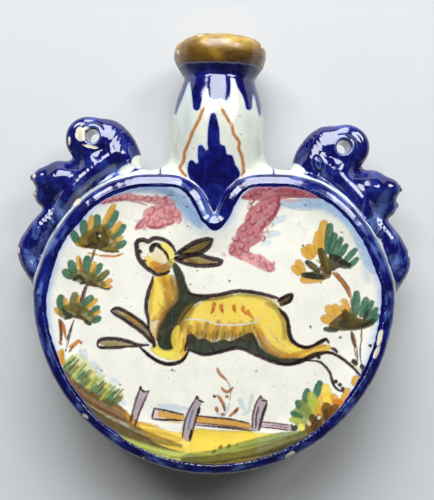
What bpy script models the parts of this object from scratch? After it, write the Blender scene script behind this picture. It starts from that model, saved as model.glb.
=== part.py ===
"""A heart-shaped pilgrim flask in glazed earthenware, lying on its back.

Units are metres. +X is the flask's right, +Y runs from the body to the mouth, and +Z comes out of the
painted face. The foot land of the back rim lies on z = 0. The flask is put together the way a potter lutes
it: two flat heart-shaped slabs, a side wall of four strips, a coil along each edge, a thrown neck with its
lip, two tongues that close the notches, and press-moulded pieces for the two figure handles.
"""
import math

import bmesh
import bpy
from mathutils import Matrix, Vector

# Body
RIM_LINE_RADIUS = 0.0785
BODY_DEPTH = 0.048
WALL = 0.005
WALL_BARREL = 0.0045
WALL_SETBACK = 0.0005
RIM_RADIUS = 0.0036
FACE_RECESS = 0.0014
BACK_RECESS = 0.0006
FOOT_CUT = 0.0008
TONGUE_FALL = 0.0045
TONGUE_CREST = 0.0017

# Neck and lip
NECK_LENGTH = 0.0467
NECK_BULB_RADIUS = 0.0225
NECK_TOP_RADIUS = 0.0170
NECK_WALL = 0.0045
PASSAGE_RADIUS = 0.0110
LIP_HEIGHT = 0.0178
LIP_RADIUS = 0.0219
MOUTH_RADIUS = 0.0095

# Figure handles
LEAN_DEG = 1.8
LEAN_PIVOT_Y = 0.0197
KNOB_BEYOND = 0.0217
KNOB_RADIUS = 0.0108
KNOB_DEPTH = 0.0142
KNOB_EDGE = 0.0040
TAIL_REACH = 0.0192
TAIL_RADIUS = 0.0092
STEM_RADIUS = 0.0080
CORD_HOLE_RADIUS = 0.0033
CORD_HOLE_BEYOND = 0.0222
CHEST_BEYOND = 0.0106
CHEST_LENGTH = 0.0240
CHEST_HEIGHT = 0.0226
CHEST_DEPTH = 0.0200
UPPER_BREAST_BEYOND = 0.0189
LOWER_BREAST_BEYOND = 0.0133
BREAST_RADIUS = 0.0060
BREAST_SPREAD = 0.0030
TIP_RADIUS = 0.0016
HAUNCH_REACH = 0.0052
HAUNCH_RADIUS = 0.0070
WING_REACH = 0.0052
WING_RADIUS = 0.0042
WING_OFFSET = 0.0082

# Luting
JOINT = 0.0003
CUT_DEPTH = 0.0100
OVERRUN = 0.0040

# Counts
OUTLINE_STEPS = 3
TUBE_RESOLUTION = 2
TURN_STEPS = 36
BALL_SEGMENTS = 16
BALL_RINGS = 10
HOLE_SEGMENTS = 20
KNOB_SEGMENTS = 26
KNOB_EDGE_SEGMENTS = 3
ROLL_STEPS = 2
WALL_ROWS = 6

# Places derived from the sizes
FRONT_RIM_Z = BODY_DEPTH - RIM_RADIUS
BACK_RIM_Z = RIM_RADIUS - FOOT_CUT
MID_Z = (FRONT_RIM_Z + BACK_RIM_Z) / 2
WALL_HALF_DEPTH = (FRONT_RIM_Z - BACK_RIM_Z) / 2 - RIM_RADIUS - JOINT
WALL_EDGE_OUT = RIM_RADIUS - WALL_SETBACK
WALL_OUT = WALL_EDGE_OUT + WALL_BARREL
COIL_CLEARANCE = RIM_RADIUS + JOINT

# The rim line above the middle, as (angle in degrees, share of RIM_LINE_RADIUS) round the body's centre
SHOULDER_SHARES = ((0, 1.0), (8, 0.975), (16, 0.951), (25, 0.922), (35, 0.887), (45, 0.843), (54, 0.786),
                   (61, 0.736), (68, 0.693))
# The saddle under the neck, which only the side wall follows
SADDLE_SHARES = ((75, 0.670), (82, 0.657), (90, 0.652))
# The notch of the heart, as (x, y) shares of RIM_LINE_RADIUS, down to its round bottom
NOTCH_SHARES = ((0.190, 0.628), (0.137, 0.590), (0.098, 0.540))
NOTCH_BOTTOM_Y_SHARE = 0.478
NOTCH_BOTTOM_RADIUS_SHARE = 0.064
NOTCH_BOTTOM_ANGLES = (-15, -40, -65, -90)
LOWER_ANGLES = range(-90, 0, 10)

# Neck profile, as (share of NECK_LENGTH from its foot, share of the way from the top radius to the bulb's)
NECK_SHARES = ((1.0, 0.0), (0.93, 0.14), (0.83, 0.42), (0.70, 0.70), (0.54, 0.91), (0.36, 1.0), (0.16, 0.99),
               (0.0, 0.96))
# Lip profile, as (share of LIP_HEIGHT, share of the way from the neck's top radius to LIP_RADIUS)
LIP_OUTER_SHARES = ((0.92, 0.48), (0.80, 0.86), (0.65, 1.0), (0.50, 0.97), (0.32, 0.72), (0.15, 0.30),
                    (0.0, 0.0))
# The mouth and crest, as (share of LIP_HEIGHT, share of the way from the mouth's radius to the neck's top)
LIP_INNER_SHARES = ((0.45, 0.0), (0.86, 0.10), (0.97, 0.55), (1.0, 1.0))

# Handle places, as angles round the body's centre
KNOB_ANGLE = 48.9
CORD_HOLE_ANGLE = 50.1
CHEST_ANGLE = 33.9
BREAST_PLACES = (("upper", 32.2, UPPER_BREAST_BEYOND, 1), ("lower", 28.6, LOWER_BREAST_BEYOND, -1))
# Handle paths, as (angle, share of the reach beyond the wall, share of the radius)
TAIL_SHARES = ((50.0, 1.12, 0.98), (53.7, 1.0, 1.0), (55.0, 0.65, 0.91), (54.0, 0.25, 0.87),
               (51.8, -0.09, 0.82))
STEM_SHARES = ((47.3, 0.90, 1.0), (46.0, 0.38, 0.94), (45.5, 0.03, 0.88))
HAUNCH_SHARES = ((25.0, 0.40, 0.70), (20.0, 0.77, 0.92), (15.0, 0.96, 1.0), (10.5, 1.0, 0.98),
                 (5.5, 0.10, 0.80), (0.5, -0.90, 0.60))
WING_SHARES = ((46.0, 1.0, 0.55), (40.0, 0.80, 0.90), (34.0, 0.70, 1.0), (28.0, 0.42, 0.85),
               (22.5, 0.10, 0.50))

# Glazes, as (name, colour, roughness)
WHITE = ("white_glaze", (0.82, 0.82, 0.76, 1.0), 0.15)
COBALT = ("cobalt_glaze", (0.02, 0.03, 0.30, 1.0), 0.12)
OCHRE = ("ochre_glaze", (0.55, 0.32, 0.06, 1.0), 0.25)


def clear_scene():
    """Removes every object that the scene starts with."""
    for old in list(bpy.data.objects):
        bpy.data.objects.remove(old, do_unlink=True)


def new_collection(name):
    """A new collection in the scene."""
    made = bpy.data.collections.new(name)
    bpy.context.scene.collection.children.link(made)
    return made


def glaze(kind):
    """A Principled material for one kind of glaze."""
    name, colour, roughness = kind
    material = bpy.data.materials.new(name)
    material.use_nodes = True
    shader = material.node_tree.nodes["Principled BSDF"]
    shader.inputs["Base Color"].default_value = colour
    shader.inputs["Roughness"].default_value = roughness
    shader.inputs["Metallic"].default_value = 0.0
    material.diffuse_color = colour
    return material


def smooth_line(points, steps, closed=False):
    """Points on a Catmull-Rom curve through the given points."""
    count = len(points)
    spans = count if closed else count - 1
    vectors = [Vector(p) for p in points]
    line = []
    for i in range(spans):
        if closed:
            a, b, c, d = (vectors[(i + k) % count] for k in (-1, 0, 1, 2))
        else:
            b, c = vectors[i], vectors[i + 1]
            a = vectors[i - 1] if i > 0 else 2 * b - c
            d = vectors[i + 2] if i + 2 < count else 2 * c - b
        for step in range(steps):
            t = step / steps
            line.append(0.5 * ((2 * b) + (c - a) * t + (2 * a - 5 * b + 4 * c - d) * t * t
                               + (3 * b - a - 3 * c + d) * t * t * t))
    if not closed:
        line.append(vectors[-1])
    return line


def polar(angle, radius):
    """A flat point at an angle in degrees round the body's centre."""
    turn = math.radians(angle)
    return Vector((radius * math.cos(turn), radius * math.sin(turn), 0.0))


def closed_from_half(half):
    """A closed outline from its right half, which starts and ends on the Y axis."""
    half[0].x = 0.0
    half[-1].x = 0.0
    return half + [Vector((-p.x, p.y, p.z)) for p in reversed(half[1:-1])]


def offset_outline(line, distance):
    """The closed outline moved outwards by a distance, along its own normals."""
    moved = []
    for i, place in enumerate(line):
        along = (line[(i + 1) % len(line)] - line[i - 1]).normalized()
        moved.append(place + distance * Vector((along.y, -along.x, 0.0)))
    return moved


def rim_line():
    """The heart that both rim coils follow, with its notch."""
    half = [polar(a, RIM_LINE_RADIUS) for a in LOWER_ANGLES]
    half += [polar(a, share * RIM_LINE_RADIUS) for a, share in SHOULDER_SHARES]
    half += [Vector((x * RIM_LINE_RADIUS, y * RIM_LINE_RADIUS, 0.0)) for x, y in NOTCH_SHARES]
    bottom = Vector((0.0, NOTCH_BOTTOM_Y_SHARE * RIM_LINE_RADIUS, 0.0))
    half += [bottom + polar(a, NOTCH_BOTTOM_RADIUS_SHARE * RIM_LINE_RADIUS) for a in NOTCH_BOTTOM_ANGLES]
    return smooth_line(closed_from_half(half), OUTLINE_STEPS, closed=True)


def wall_line():
    """The line of the side wall, which bridges the notch with the saddle."""
    half = [polar(a, RIM_LINE_RADIUS) for a in LOWER_ANGLES]
    half += [polar(a, share * RIM_LINE_RADIUS) for a, share in SHOULDER_SHARES + SADDLE_SHARES]
    return smooth_line(closed_from_half(half), OUTLINE_STEPS, closed=True)


def wall_radius(angle):
    """Distance from the body's centre to the wall's outer face at mid-depth."""
    table = SHOULDER_SHARES + SADDLE_SHARES
    share = table[0][1]
    for (a, share_a), (b, share_b) in zip(table, table[1:]):
        if a <= angle <= b:
            share = share_a + (share_b - share_a) * (angle - a) / (b - a)
    return share * RIM_LINE_RADIUS + WALL_OUT


RIM_LINE = rim_line()
SADDLE_TOP_Y = SADDLE_SHARES[-1][1] * RIM_LINE_RADIUS + WALL_OUT
NECK_FOOT_Y = max(p.y for p in RIM_LINE) + COIL_CLEARANCE
NECK_TOP_Y = NECK_FOOT_Y + NECK_LENGTH
NOTCH_BOTTOM_Y = (NOTCH_BOTTOM_Y_SHARE - NOTCH_BOTTOM_RADIUS_SHARE) * RIM_LINE_RADIUS
LEAN_DROP = NECK_BULB_RADIUS * math.sin(math.radians(LEAN_DEG))
MIDDLE_Y = (NECK_TOP_Y + JOINT + LIP_HEIGHT - RIM_LINE_RADIUS - WALL_OUT) / 2


def new_curve(name, points, radii, closed, dimensions):
    """A POLY curve object through the points."""
    data = bpy.data.curves.new(name, "CURVE")
    data.dimensions = dimensions
    spline = data.splines.new("POLY")
    spline.points.add(len(points) - 1)
    for target, place, radius in zip(spline.points, points, radii):
        target.co = (place[0], place[1], place[2], 1.0)
        target.radius = radius
    spline.use_cyclic_u = closed
    return bpy.data.objects.new(name, data)


def to_mesh_object(curve_object, group):
    """Replaces a curve object with a welded mesh object of the same name."""
    bpy.context.scene.collection.objects.link(curve_object)
    graph = bpy.context.evaluated_depsgraph_get()
    mesh = bpy.data.meshes.new_from_object(curve_object.evaluated_get(graph))
    edit = bmesh.new()
    edit.from_mesh(mesh)
    bmesh.ops.remove_doubles(edit, verts=edit.verts, dist=JOINT / 10)
    bmesh.ops.recalc_face_normals(edit, faces=edit.faces)
    edit.to_mesh(mesh)
    edit.free()
    name = curve_object.name
    place = curve_object.matrix_world.copy()
    bpy.data.objects.remove(curve_object)
    made = bpy.data.objects.new(name, mesh)
    made.matrix_world = place
    group.objects.link(made)
    return made


def tube(name, points, radii, group, closed=False):
    """A round tube along the points, with its own radius at each."""
    made = new_curve(name, points, radii, closed, "3D")
    made.data.bevel_depth = 1.0
    made.data.bevel_resolution = TUBE_RESOLUTION
    made.data.use_fill_caps = not closed
    return to_mesh_object(made, group)


def slab(name, points, low_z, high_z, group):
    """A flat outline, filled and given a thickness."""
    made = new_curve(name, points, [1.0] * len(points), True, "2D")
    made.data.fill_mode = "BOTH"
    made.data.extrude = (high_z - low_z) / 2
    made.location = (0.0, 0.0, (low_z + high_z) / 2)
    return to_mesh_object(made, group)


def swept_wall(name, group, grow, inner):
    """The barrel-sided strip along the wall line: grow thickens it outside, inner is its depth inwards."""
    levels = [2 * row / WALL_ROWS - 1 for row in range(WALL_ROWS + 1)]
    section = [(WALL_EDGE_OUT + WALL_BARREL * (1 - level ** 2), level * (WALL_HALF_DEPTH + grow))
               for level in levels]
    profile_points = [(-out - grow, height, 0.0) for out, height in section]
    profile_points += [(inner - out, height, 0.0) for out, height in reversed(section)]
    profile = new_curve(name + "_profile", profile_points, [1.0] * len(profile_points), True, "2D")
    bpy.context.scene.collection.objects.link(profile)
    line = wall_line()
    path = new_curve(name, line, [1.0] * len(line), True, "2D")
    path.data.bevel_mode = "OBJECT"
    path.data.bevel_object = profile
    path.location = (0.0, 0.0, MID_Z)
    made = to_mesh_object(path, group)
    bpy.data.objects.remove(profile)
    return made


def turned(name, profile, group):
    """A closed profile of (radius, height) turned round the flask's long axis at mid-depth."""
    edit = bmesh.new()
    corners = [edit.verts.new((radius, 0.0, height)) for radius, height in profile]
    for a, b in zip(corners, corners[1:] + corners[:1]):
        edit.edges.new((a, b))
    mesh = bpy.data.meshes.new(name)
    edit.to_mesh(mesh)
    edit.free()
    made = bpy.data.objects.new(name, mesh)
    group.objects.link(made)
    screw = made.modifiers.new("turn", "SCREW")
    screw.axis = "Z"
    screw.steps = TURN_STEPS
    screw.render_steps = TURN_STEPS
    screw.use_merge_vertices = True
    screw.merge_threshold = JOINT / 10
    screw.use_normal_calculate = True
    made.rotation_euler = (-math.pi / 2, 0.0, 0.0)
    made.location = (0.0, 0.0, MID_Z)
    return made


def primitive(name, edit, group):
    """An object from a finished bmesh."""
    mesh = bpy.data.meshes.new(name)
    edit.to_mesh(mesh)
    edit.free()
    made = bpy.data.objects.new(name, mesh)
    group.objects.link(made)
    return made


def rod(name, radius, start, end, segments, group):
    """A straight cylinder between two points."""
    edit = bmesh.new()
    axis = end - start
    bmesh.ops.create_cone(edit, cap_ends=True, segments=segments, radius1=radius, radius2=radius,
                          depth=axis.length)
    made = primitive(name, edit, group)
    made.rotation_mode = "QUATERNION"
    made.rotation_quaternion = axis.to_track_quat("Z", "Y")
    made.location = (start + end) / 2
    return made


def ellipsoid(name, radii, centre, turn, group):
    """A ball with its own radius along each axis, turned in the flat by an angle."""
    edit = bmesh.new()
    bmesh.ops.create_uvsphere(edit, u_segments=BALL_SEGMENTS, v_segments=BALL_RINGS, radius=1.0)
    bmesh.ops.scale(edit, vec=radii, verts=edit.verts)
    made = primitive(name, edit, group)
    made.location = centre
    made.rotation_euler = (0.0, 0.0, turn)
    return made


def combine(target, other, operation):
    """Adds a Boolean modifier that joins, cuts or keeps target with other."""
    modifier = target.modifiers.new(operation.lower() + "_" + other.name, "BOOLEAN")
    modifier.operation = operation
    modifier.solver = "EXACT"
    modifier.object = other


def hide(helper):
    """Marks a cutter or guide, which is no piece of the flask."""
    helper.hide_render = True
    helper.display_type = "WIRE"
    return helper


def cuboid(name, low, high, group):
    """A box between two opposite corners."""
    edit = bmesh.new()
    bmesh.ops.create_cube(edit, size=1.0)
    bmesh.ops.scale(edit, vec=high - low, verts=edit.verts)
    bmesh.ops.translate(edit, vec=(low + high) / 2, verts=edit.verts)
    return primitive(name, edit, group)


def wall_strips(passage, group, helpers):
    """The four strips of the side wall, which meet on both axes of the heart."""
    reach = RIM_LINE_RADIUS + WALL_OUT + OVERRUN
    seam = JOINT / 2
    across = {"left": (-seam, reach), "right": (-reach, seam)}
    along = {"upper": (-reach, seam), "lower": (-seam, reach)}
    strips = {}
    for label, (low_x, high_x) in across.items():
        for place, (low_y, high_y) in along.items():
            name = f"{label}_{place}_wall"
            made = swept_wall(name, group, 0.0, WALL)
            beside = cuboid(name + "_side_end", Vector((low_x, -reach, 0.0)),
                            Vector((high_x, reach, BODY_DEPTH)), helpers)
            beyond = cuboid(name + "_middle_end", Vector((-reach, low_y, 0.0)),
                            Vector((reach, high_y, BODY_DEPTH)), helpers)
            combine(made, hide(beside), "DIFFERENCE")
            combine(made, hide(beyond), "DIFFERENCE")
            if place == "upper":
                combine(made, passage, "DIFFERENCE")
            strips[name] = made
    return strips


def rim_coil(name, height, group):
    """The coil along one edge of the body."""
    line = [(p.x, p.y, height) for p in RIM_LINE]
    return tube(name, line, [RIM_RADIUS] * len(line), group, closed=True)


def neck_profile():
    """The neck's section, as (radius, height), down its outer side and back up inside."""
    spread = NECK_BULB_RADIUS - NECK_TOP_RADIUS
    outer = [(NECK_TOP_RADIUS + share * spread, NECK_FOOT_Y + rise * NECK_LENGTH)
             for rise, share in NECK_SHARES]
    inner = [(radius - NECK_WALL, height) for radius, height in reversed(outer)]
    return outer + inner


def lip_profile():
    """The lip's section: a flared ring with a round top and a funnel inside."""
    foot = NECK_TOP_Y + JOINT
    flare = LIP_RADIUS - NECK_TOP_RADIUS
    land = NECK_TOP_RADIUS - MOUTH_RADIUS
    outer = [(NECK_TOP_RADIUS + share * flare, foot + rise * LIP_HEIGHT) for rise, share in LIP_OUTER_SHARES]
    inner = [(MOUTH_RADIUS + share * land, foot + rise * LIP_HEIGHT) for rise, share in LIP_INNER_SHARES]
    return outer + [(NECK_TOP_RADIUS - NECK_WALL, foot)] + inner


def tongue(name, facing, low_z, high_z, group, helpers):
    """The piece that carries the neck's swell down into the notch, on the front (1) or back (-1)."""
    top_y = NECK_FOOT_Y - LEAN_DROP - JOINT
    lobe_x = NOTCH_SHARES[0][0] * RIM_LINE_RADIUS
    edge = offset_outline(RIM_LINE, COIL_CLEARANCE)
    flank = [p for p in edge if 0 < p.x < lobe_x and NOTCH_BOTTOM_Y < p.y < top_y]
    flank.sort(key=lambda p: p.y)
    half = flank + [Vector((flank[-1].x, top_y, 0.0))]
    outline = half + [Vector((-p.x, p.y, 0.0)) for p in reversed(half)]
    made = slab(name, outline, low_z, high_z, group)
    start = Vector((0.0, NOTCH_BOTTOM_Y - OVERRUN, MID_Z - facing * TONGUE_FALL))
    end = Vector((0.0, NECK_FOOT_Y + OVERRUN, MID_Z))
    radius = FRONT_RIM_Z - MID_Z + TONGUE_CREST
    swell = hide(rod(name + "_swell", radius, start, end, TURN_STEPS, helpers))
    combine(made, swell, "INTERSECT")
    return made


def handle_point(side, angle, beyond):
    """A point at mid-depth, beyond the wall's face at an angle, on the left (-1) or right (1)."""
    place = polar(angle, wall_radius(angle) + beyond)
    return Vector((side * place.x, place.y, MID_Z))


def handle_roll(name, side, shares, reach, radius, offset, grow, group):
    """A swelling roll of clay along a handle path."""
    stations = []
    for angle, beyond, share in shares:
        place = handle_point(side, angle, beyond * reach)
        stations.append((place.x, place.y, place.z + offset, share * radius + grow))
    line = smooth_line(stations, ROLL_STEPS)
    return tube(name, [p[:3] for p in line], [p[3] for p in line], group)


def knob(name, side, grow, group):
    """The round boss at the head of a scroll, with soft edges."""
    centre = handle_point(side, KNOB_ANGLE, KNOB_BEYOND)
    half = Vector((0.0, 0.0, KNOB_DEPTH / 2 + grow))
    made = rod(name, KNOB_RADIUS + grow, centre - half, centre + half, KNOB_SEGMENTS, group)
    soften = made.modifiers.new("soft_edge", "BEVEL")
    soften.width = KNOB_EDGE
    soften.segments = KNOB_EDGE_SEGMENTS
    soften.limit_method = "ANGLE"
    return made


def scroll(name, side, grow, group, helpers):
    """The curled head of a handle: a boss, its tail that curls back to the shoulder, and a stem under it."""
    made = handle_roll(name, side, TAIL_SHARES, TAIL_REACH, TAIL_RADIUS, 0.0, grow, group)
    stem = handle_roll(name + "_stem", side, STEM_SHARES, TAIL_REACH, STEM_RADIUS, 0.0, grow, helpers)
    combine(made, hide(stem), "UNION")
    combine(made, hide(knob(name + "_boss", side, grow, helpers)), "UNION")
    return made


def bust(name, side, grow, group, helpers):
    """The chest of a handle figure, with its two swellings and their small tips."""
    turn = math.radians(CHEST_ANGLE if side > 0 else 180 - CHEST_ANGLE)
    half_sizes = [size / 2 + grow for size in (CHEST_LENGTH, CHEST_HEIGHT, CHEST_DEPTH)]
    made = ellipsoid(name, half_sizes, handle_point(side, CHEST_ANGLE, CHEST_BEYOND), turn, group)
    for label, angle, beyond, facing in BREAST_PLACES:
        centre = handle_point(side, angle, beyond)
        centre.z += facing * BREAST_SPREAD
        swelling = ellipsoid(f"{name}_{label}_swelling", [BREAST_RADIUS + grow] * 3, centre, 0.0, helpers)
        bud_centre = centre + Vector((side * (BREAST_RADIUS - TIP_RADIUS / 2), 0.0, 0.0))
        bud = ellipsoid(f"{name}_{label}_tip", [TIP_RADIUS + grow] * 3, bud_centre, 0.0, helpers)
        combine(made, hide(swelling), "UNION")
        combine(made, hide(bud), "UNION")
    return made


def haunch(name, side, grow, group):
    """The folded leg of a handle figure."""
    return handle_roll(name, side, HAUNCH_SHARES, HAUNCH_REACH, HAUNCH_RADIUS, 0.0, grow, group)


def build_body(flask, helpers, lean):
    """The slabs, coils, wall strips and tongues."""
    inner_outline = offset_outline(RIM_LINE, -COIL_CLEARANCE)
    front_top = BODY_DEPTH - FACE_RECESS
    passage = hide(rod("neck_passage", PASSAGE_RADIUS, Vector((0.0, NOTCH_BOTTOM_Y, MID_Z)),
                       Vector((0.0, SADDLE_TOP_Y + OVERRUN, MID_Z)), HOLE_SEGMENTS, helpers))
    passage.parent = lean
    pieces = {
        "front_plaque": slab("front_plaque", inner_outline, front_top - WALL, front_top, flask),
        "back_plaque": slab("back_plaque", inner_outline, BACK_RECESS, BACK_RECESS + WALL, flask),
        "front_rim": rim_coil("front_rim", FRONT_RIM_Z, flask),
        "back_rim": rim_coil("back_rim", BACK_RIM_Z, flask),
        "front_tongue": tongue("front_tongue", 1, FRONT_RIM_Z - RIM_RADIUS, BODY_DEPTH, flask, helpers),
        "back_tongue": tongue("back_tongue", -1, 0.0, BACK_RIM_Z + RIM_RADIUS, flask, helpers)}
    pieces.update(wall_strips(passage, flask, helpers))
    reach = RIM_LINE_RADIUS + WALL_OUT
    below = cuboid("below_foot", Vector((-reach, -reach, -OVERRUN)), Vector((reach, reach, 0.0)), helpers)
    combine(pieces["back_rim"], hide(below), "DIFFERENCE")
    return pieces


def build_handle(label, side, envelope, flask, helpers):
    """The pieces of one figure handle, cut by each other and by the wall."""
    pieces = {
        f"{label}_scroll": scroll(f"{label}_scroll", side, 0.0, flask, helpers),
        f"{label}_bust": bust(f"{label}_bust", side, 0.0, flask, helpers),
        f"{label}_haunch": haunch(f"{label}_haunch", side, 0.0, flask)}
    scroll_gap = hide(scroll(f"{label}_scroll_gap", side, JOINT, helpers, helpers))
    bust_gap = hide(bust(f"{label}_bust_gap", side, JOINT, helpers, helpers))
    haunch_gap = hide(haunch(f"{label}_haunch_gap", side, JOINT, helpers))
    centre = handle_point(side, CORD_HOLE_ANGLE, CORD_HOLE_BEYOND)
    half = Vector((0.0, 0.0, max(KNOB_DEPTH / 2, TAIL_RADIUS) + OVERRUN))
    hole = rod(f"{label}_cord_hole", CORD_HOLE_RADIUS, centre - half, centre + half, HOLE_SEGMENTS, helpers)
    combine(pieces[f"{label}_scroll"], bust_gap, "DIFFERENCE")
    combine(pieces[f"{label}_scroll"], hide(hole), "DIFFERENCE")
    combine(pieces[f"{label}_haunch"], bust_gap, "DIFFERENCE")
    for place, facing in (("front", 1), ("back", -1)):
        name = f"{label}_{place}_wing"
        wing = handle_roll(name, side, WING_SHARES, WING_REACH, WING_RADIUS, facing * WING_OFFSET, 0.0, flask)
        for cutter in (bust_gap, scroll_gap, haunch_gap):
            combine(wing, cutter, "DIFFERENCE")
        pieces[name] = wing
    for piece in pieces.values():
        combine(piece, envelope, "DIFFERENCE")
    return pieces


def adopt(parent, *groups):
    """Gives the parent to every object that has none yet."""
    for group in groups:
        for child in group.objects:
            if child.parent is None and child is not parent:
                child.parent = parent


def build():
    """The whole flask: the upright body, then the neck and handles, which lean a little."""
    clear_scene()
    flask = new_collection("pilgrim_flask")
    helpers = new_collection("cutters")
    frame = bpy.data.objects.new("flask_frame", None)
    frame.location = (0.0, -MIDDLE_Y, 0.0)
    flask.objects.link(frame)
    pivot = Vector((0.0, LEAN_PIVOT_Y, 0.0))
    turn = Matrix.Rotation(-math.radians(LEAN_DEG), 3, "Z")
    lean = bpy.data.objects.new("lean_axis", None)
    lean.location = pivot - turn @ pivot
    lean.rotation_euler = turn.to_euler()
    lean.parent = frame
    flask.objects.link(lean)

    pieces = build_body(flask, helpers, lean)
    envelope = hide(swept_wall("wall_envelope", helpers, JOINT, WALL + CUT_DEPTH))
    adopt(frame, flask, helpers)
    pieces["neck"] = turned("neck", neck_profile(), flask)
    combine(pieces["neck"], envelope, "DIFFERENCE")
    pieces["lip_ring"] = turned("lip_ring", lip_profile(), flask)
    for label, side in (("left", -1), ("right", 1)):
        pieces.update(build_handle(label, side, envelope, flask, helpers))
    adopt(lean, flask, helpers)

    white, blue, ochre = glaze(WHITE), glaze(COBALT), glaze(OCHRE)
    coats = {name: white for name in pieces if name == "neck" or name.endswith(("plaque", "wall"))}
    coats["lip_ring"] = ochre
    for name, piece in pieces.items():
        piece.data.materials.clear()
        piece.data.materials.append(coats.get(name, blue))
        piece.data.shade_smooth()


build()
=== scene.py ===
"""The looks of a heart-shaped pilgrim flask in painted tin-glazed earthenware.

Lengths in this file are millimetres until a mesh is made. Places are counted from the middle of the heart's
round foot, and make_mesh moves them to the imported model's origin. The neck and handles lean a little about
LEAN_PIVOT_Y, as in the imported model.
"""
import math

import bpy
import numpy as np
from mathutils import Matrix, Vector


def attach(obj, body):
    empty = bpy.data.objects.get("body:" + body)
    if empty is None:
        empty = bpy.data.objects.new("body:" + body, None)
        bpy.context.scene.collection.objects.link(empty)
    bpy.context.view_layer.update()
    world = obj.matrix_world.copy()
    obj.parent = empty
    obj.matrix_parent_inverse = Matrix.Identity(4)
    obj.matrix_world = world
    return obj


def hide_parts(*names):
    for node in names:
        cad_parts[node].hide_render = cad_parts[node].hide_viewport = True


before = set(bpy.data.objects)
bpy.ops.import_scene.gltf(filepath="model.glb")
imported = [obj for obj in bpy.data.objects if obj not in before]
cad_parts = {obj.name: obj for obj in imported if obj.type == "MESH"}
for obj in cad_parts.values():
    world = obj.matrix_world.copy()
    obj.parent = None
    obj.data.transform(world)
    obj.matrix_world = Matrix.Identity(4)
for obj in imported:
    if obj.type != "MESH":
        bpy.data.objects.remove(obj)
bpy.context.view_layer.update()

# Sizes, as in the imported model
RIM_LINE_RADIUS = 78.5
WALL_EDGE_OUT = 3.1
WALL_BARREL = 4.5
RIM_RADIUS = 3.6
FRONT_RIM_Z = 44.4
BACK_RIM_Z = 2.8
MID_Z = 23.6
WALL_HALF_DEPTH = 17.2
FACE_Z = 46.6
BACK_Z = 0.6
FACE_RISE = 1.1
COIL_CLEARANCE = 3.9
TONGUE_FALL = 4.5
NECK_LENGTH = 46.7
LIP_GAP = 0.3
NECK_BULB_RADIUS = 22.5
NECK_TOP_RADIUS = 17.0
LIP_HEIGHT = 17.8
LIP_RADIUS = 21.9
MOUTH_RADIUS = 9.5
PASSAGE_RADIUS = 12.0
LEAN = math.radians(1.8)
LEAN_PIVOT_Y = 19.7
KNOB_RADIUS = 10.8
KNOB_DEPTH = 14.2
KNOB_EDGE = 4.0
TAIL_REACH = 19.2
TAIL_RADIUS = 9.2
STEM_RADIUS = 8.0
CORD_HOLE_RADIUS = 3.3
HAUNCH_REACH = 5.2
HAUNCH_RADIUS = 7.0
WING_REACH = 5.2
WING_RADIUS = 4.2
WING_OFFSET = 8.2
WALL_OUT = WALL_EDGE_OUT + WALL_BARREL

SHOULDER_SHARES = ((0, 1.0), (8, 0.975), (16, 0.951), (25, 0.922), (35, 0.887), (45, 0.843), (54, 0.786),
                   (61, 0.736), (68, 0.693))
SADDLE_SHARES = ((75, 0.670), (82, 0.657), (90, 0.652))
NOTCH_SHARES = ((0.190, 0.628), (0.137, 0.590), (0.098, 0.540))
NOTCH_BOTTOM_Y_SHARE = 0.478
NOTCH_BOTTOM_RADIUS_SHARE = 0.064
NECK_SHARES = ((0.0, 0.96), (0.16, 0.99), (0.36, 1.0), (0.54, 0.91), (0.70, 0.70), (0.83, 0.42), (0.93, 0.14),
               (1.0, 0.0))
LIP_OUTER_SHARES = ((0.0, 0.0), (0.15, 0.30), (0.32, 0.72), (0.50, 0.97), (0.65, 1.0), (0.80, 0.86),
                    (0.92, 0.48))
LIP_INNER_SHARES = ((1.0, 1.0), (0.97, 0.55), (0.86, 0.10), (0.45, 0.0))
TAIL_SHARES = ((50.0, 1.12, 0.98), (53.7, 1.0, 1.0), (55.0, 0.65, 0.91), (54.0, 0.25, 0.87),
               (51.8, -0.09, 0.82))
STEM_SHARES = ((47.3, 0.90, 1.0), (46.0, 0.38, 0.94), (45.5, 0.03, 0.88))
HAUNCH_SHARES = ((25.0, 0.40, 0.70), (20.0, 0.77, 0.92), (15.0, 0.96, 1.0), (10.5, 1.0, 0.98),
                 (5.5, 0.10, 0.80), (0.5, -0.90, 0.60))
WING_SHARES = ((46.0, 1.0, 0.55), (40.0, 0.80, 0.90), (34.0, 0.70, 1.0), (28.0, 0.42, 0.85),
               (22.5, 0.10, 0.50))

# The looks' own unevenness
BOTTOM_RISE = 0.6
SWELL_SHIFT = 1.2
SWELL_SINK = 1.6
TAIL_THICKENING = 0.42
CHEST_RADII = (11.6, 10.8, 9.6)
CHEST_TURN = math.radians(33.9)
COLLAR_RADIUS = 1.3
GROOVE_PLACE = (47.3, 61.1)

VOXEL = 0.7
FACE_STEP = 0.35
MAP_STEP = 0.4
FAR = 50.0


# ---------------------------------------------------------------- curves and distances

def smooth_line(points, steps, closed=False):
    """Points on a Catmull-Rom curve through the given points."""
    p = np.array(points, float)
    if closed:
        a, b, c, d = (np.roll(p, shift, axis=0) for shift in (1, 0, -1, -2))
    else:
        full = np.vstack([2 * p[:1] - p[1:2], p, 2 * p[-1:] - p[-2:-1]])
        a, b, c, d = full[:-3], full[1:-2], full[2:-1], full[3:]
    t = (np.arange(steps) / steps)[None, :, None]
    a, b, c, d = (x[:, None, :] for x in (a, b, c, d))
    line = 0.5 * (2 * b + (c - a) * t + (2 * a - 5 * b + 4 * c - d) * t ** 2
                  + (3 * b - a - 3 * c + d) * t ** 3)
    line = line.reshape(-1, p.shape[1])
    return line if closed else np.vstack([line, p[-1:]])


def polar(angle, radius):
    """A flat point at an angle in degrees round the heart's middle."""
    return np.array([radius * math.cos(math.radians(angle)), radius * math.sin(math.radians(angle))])


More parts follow.
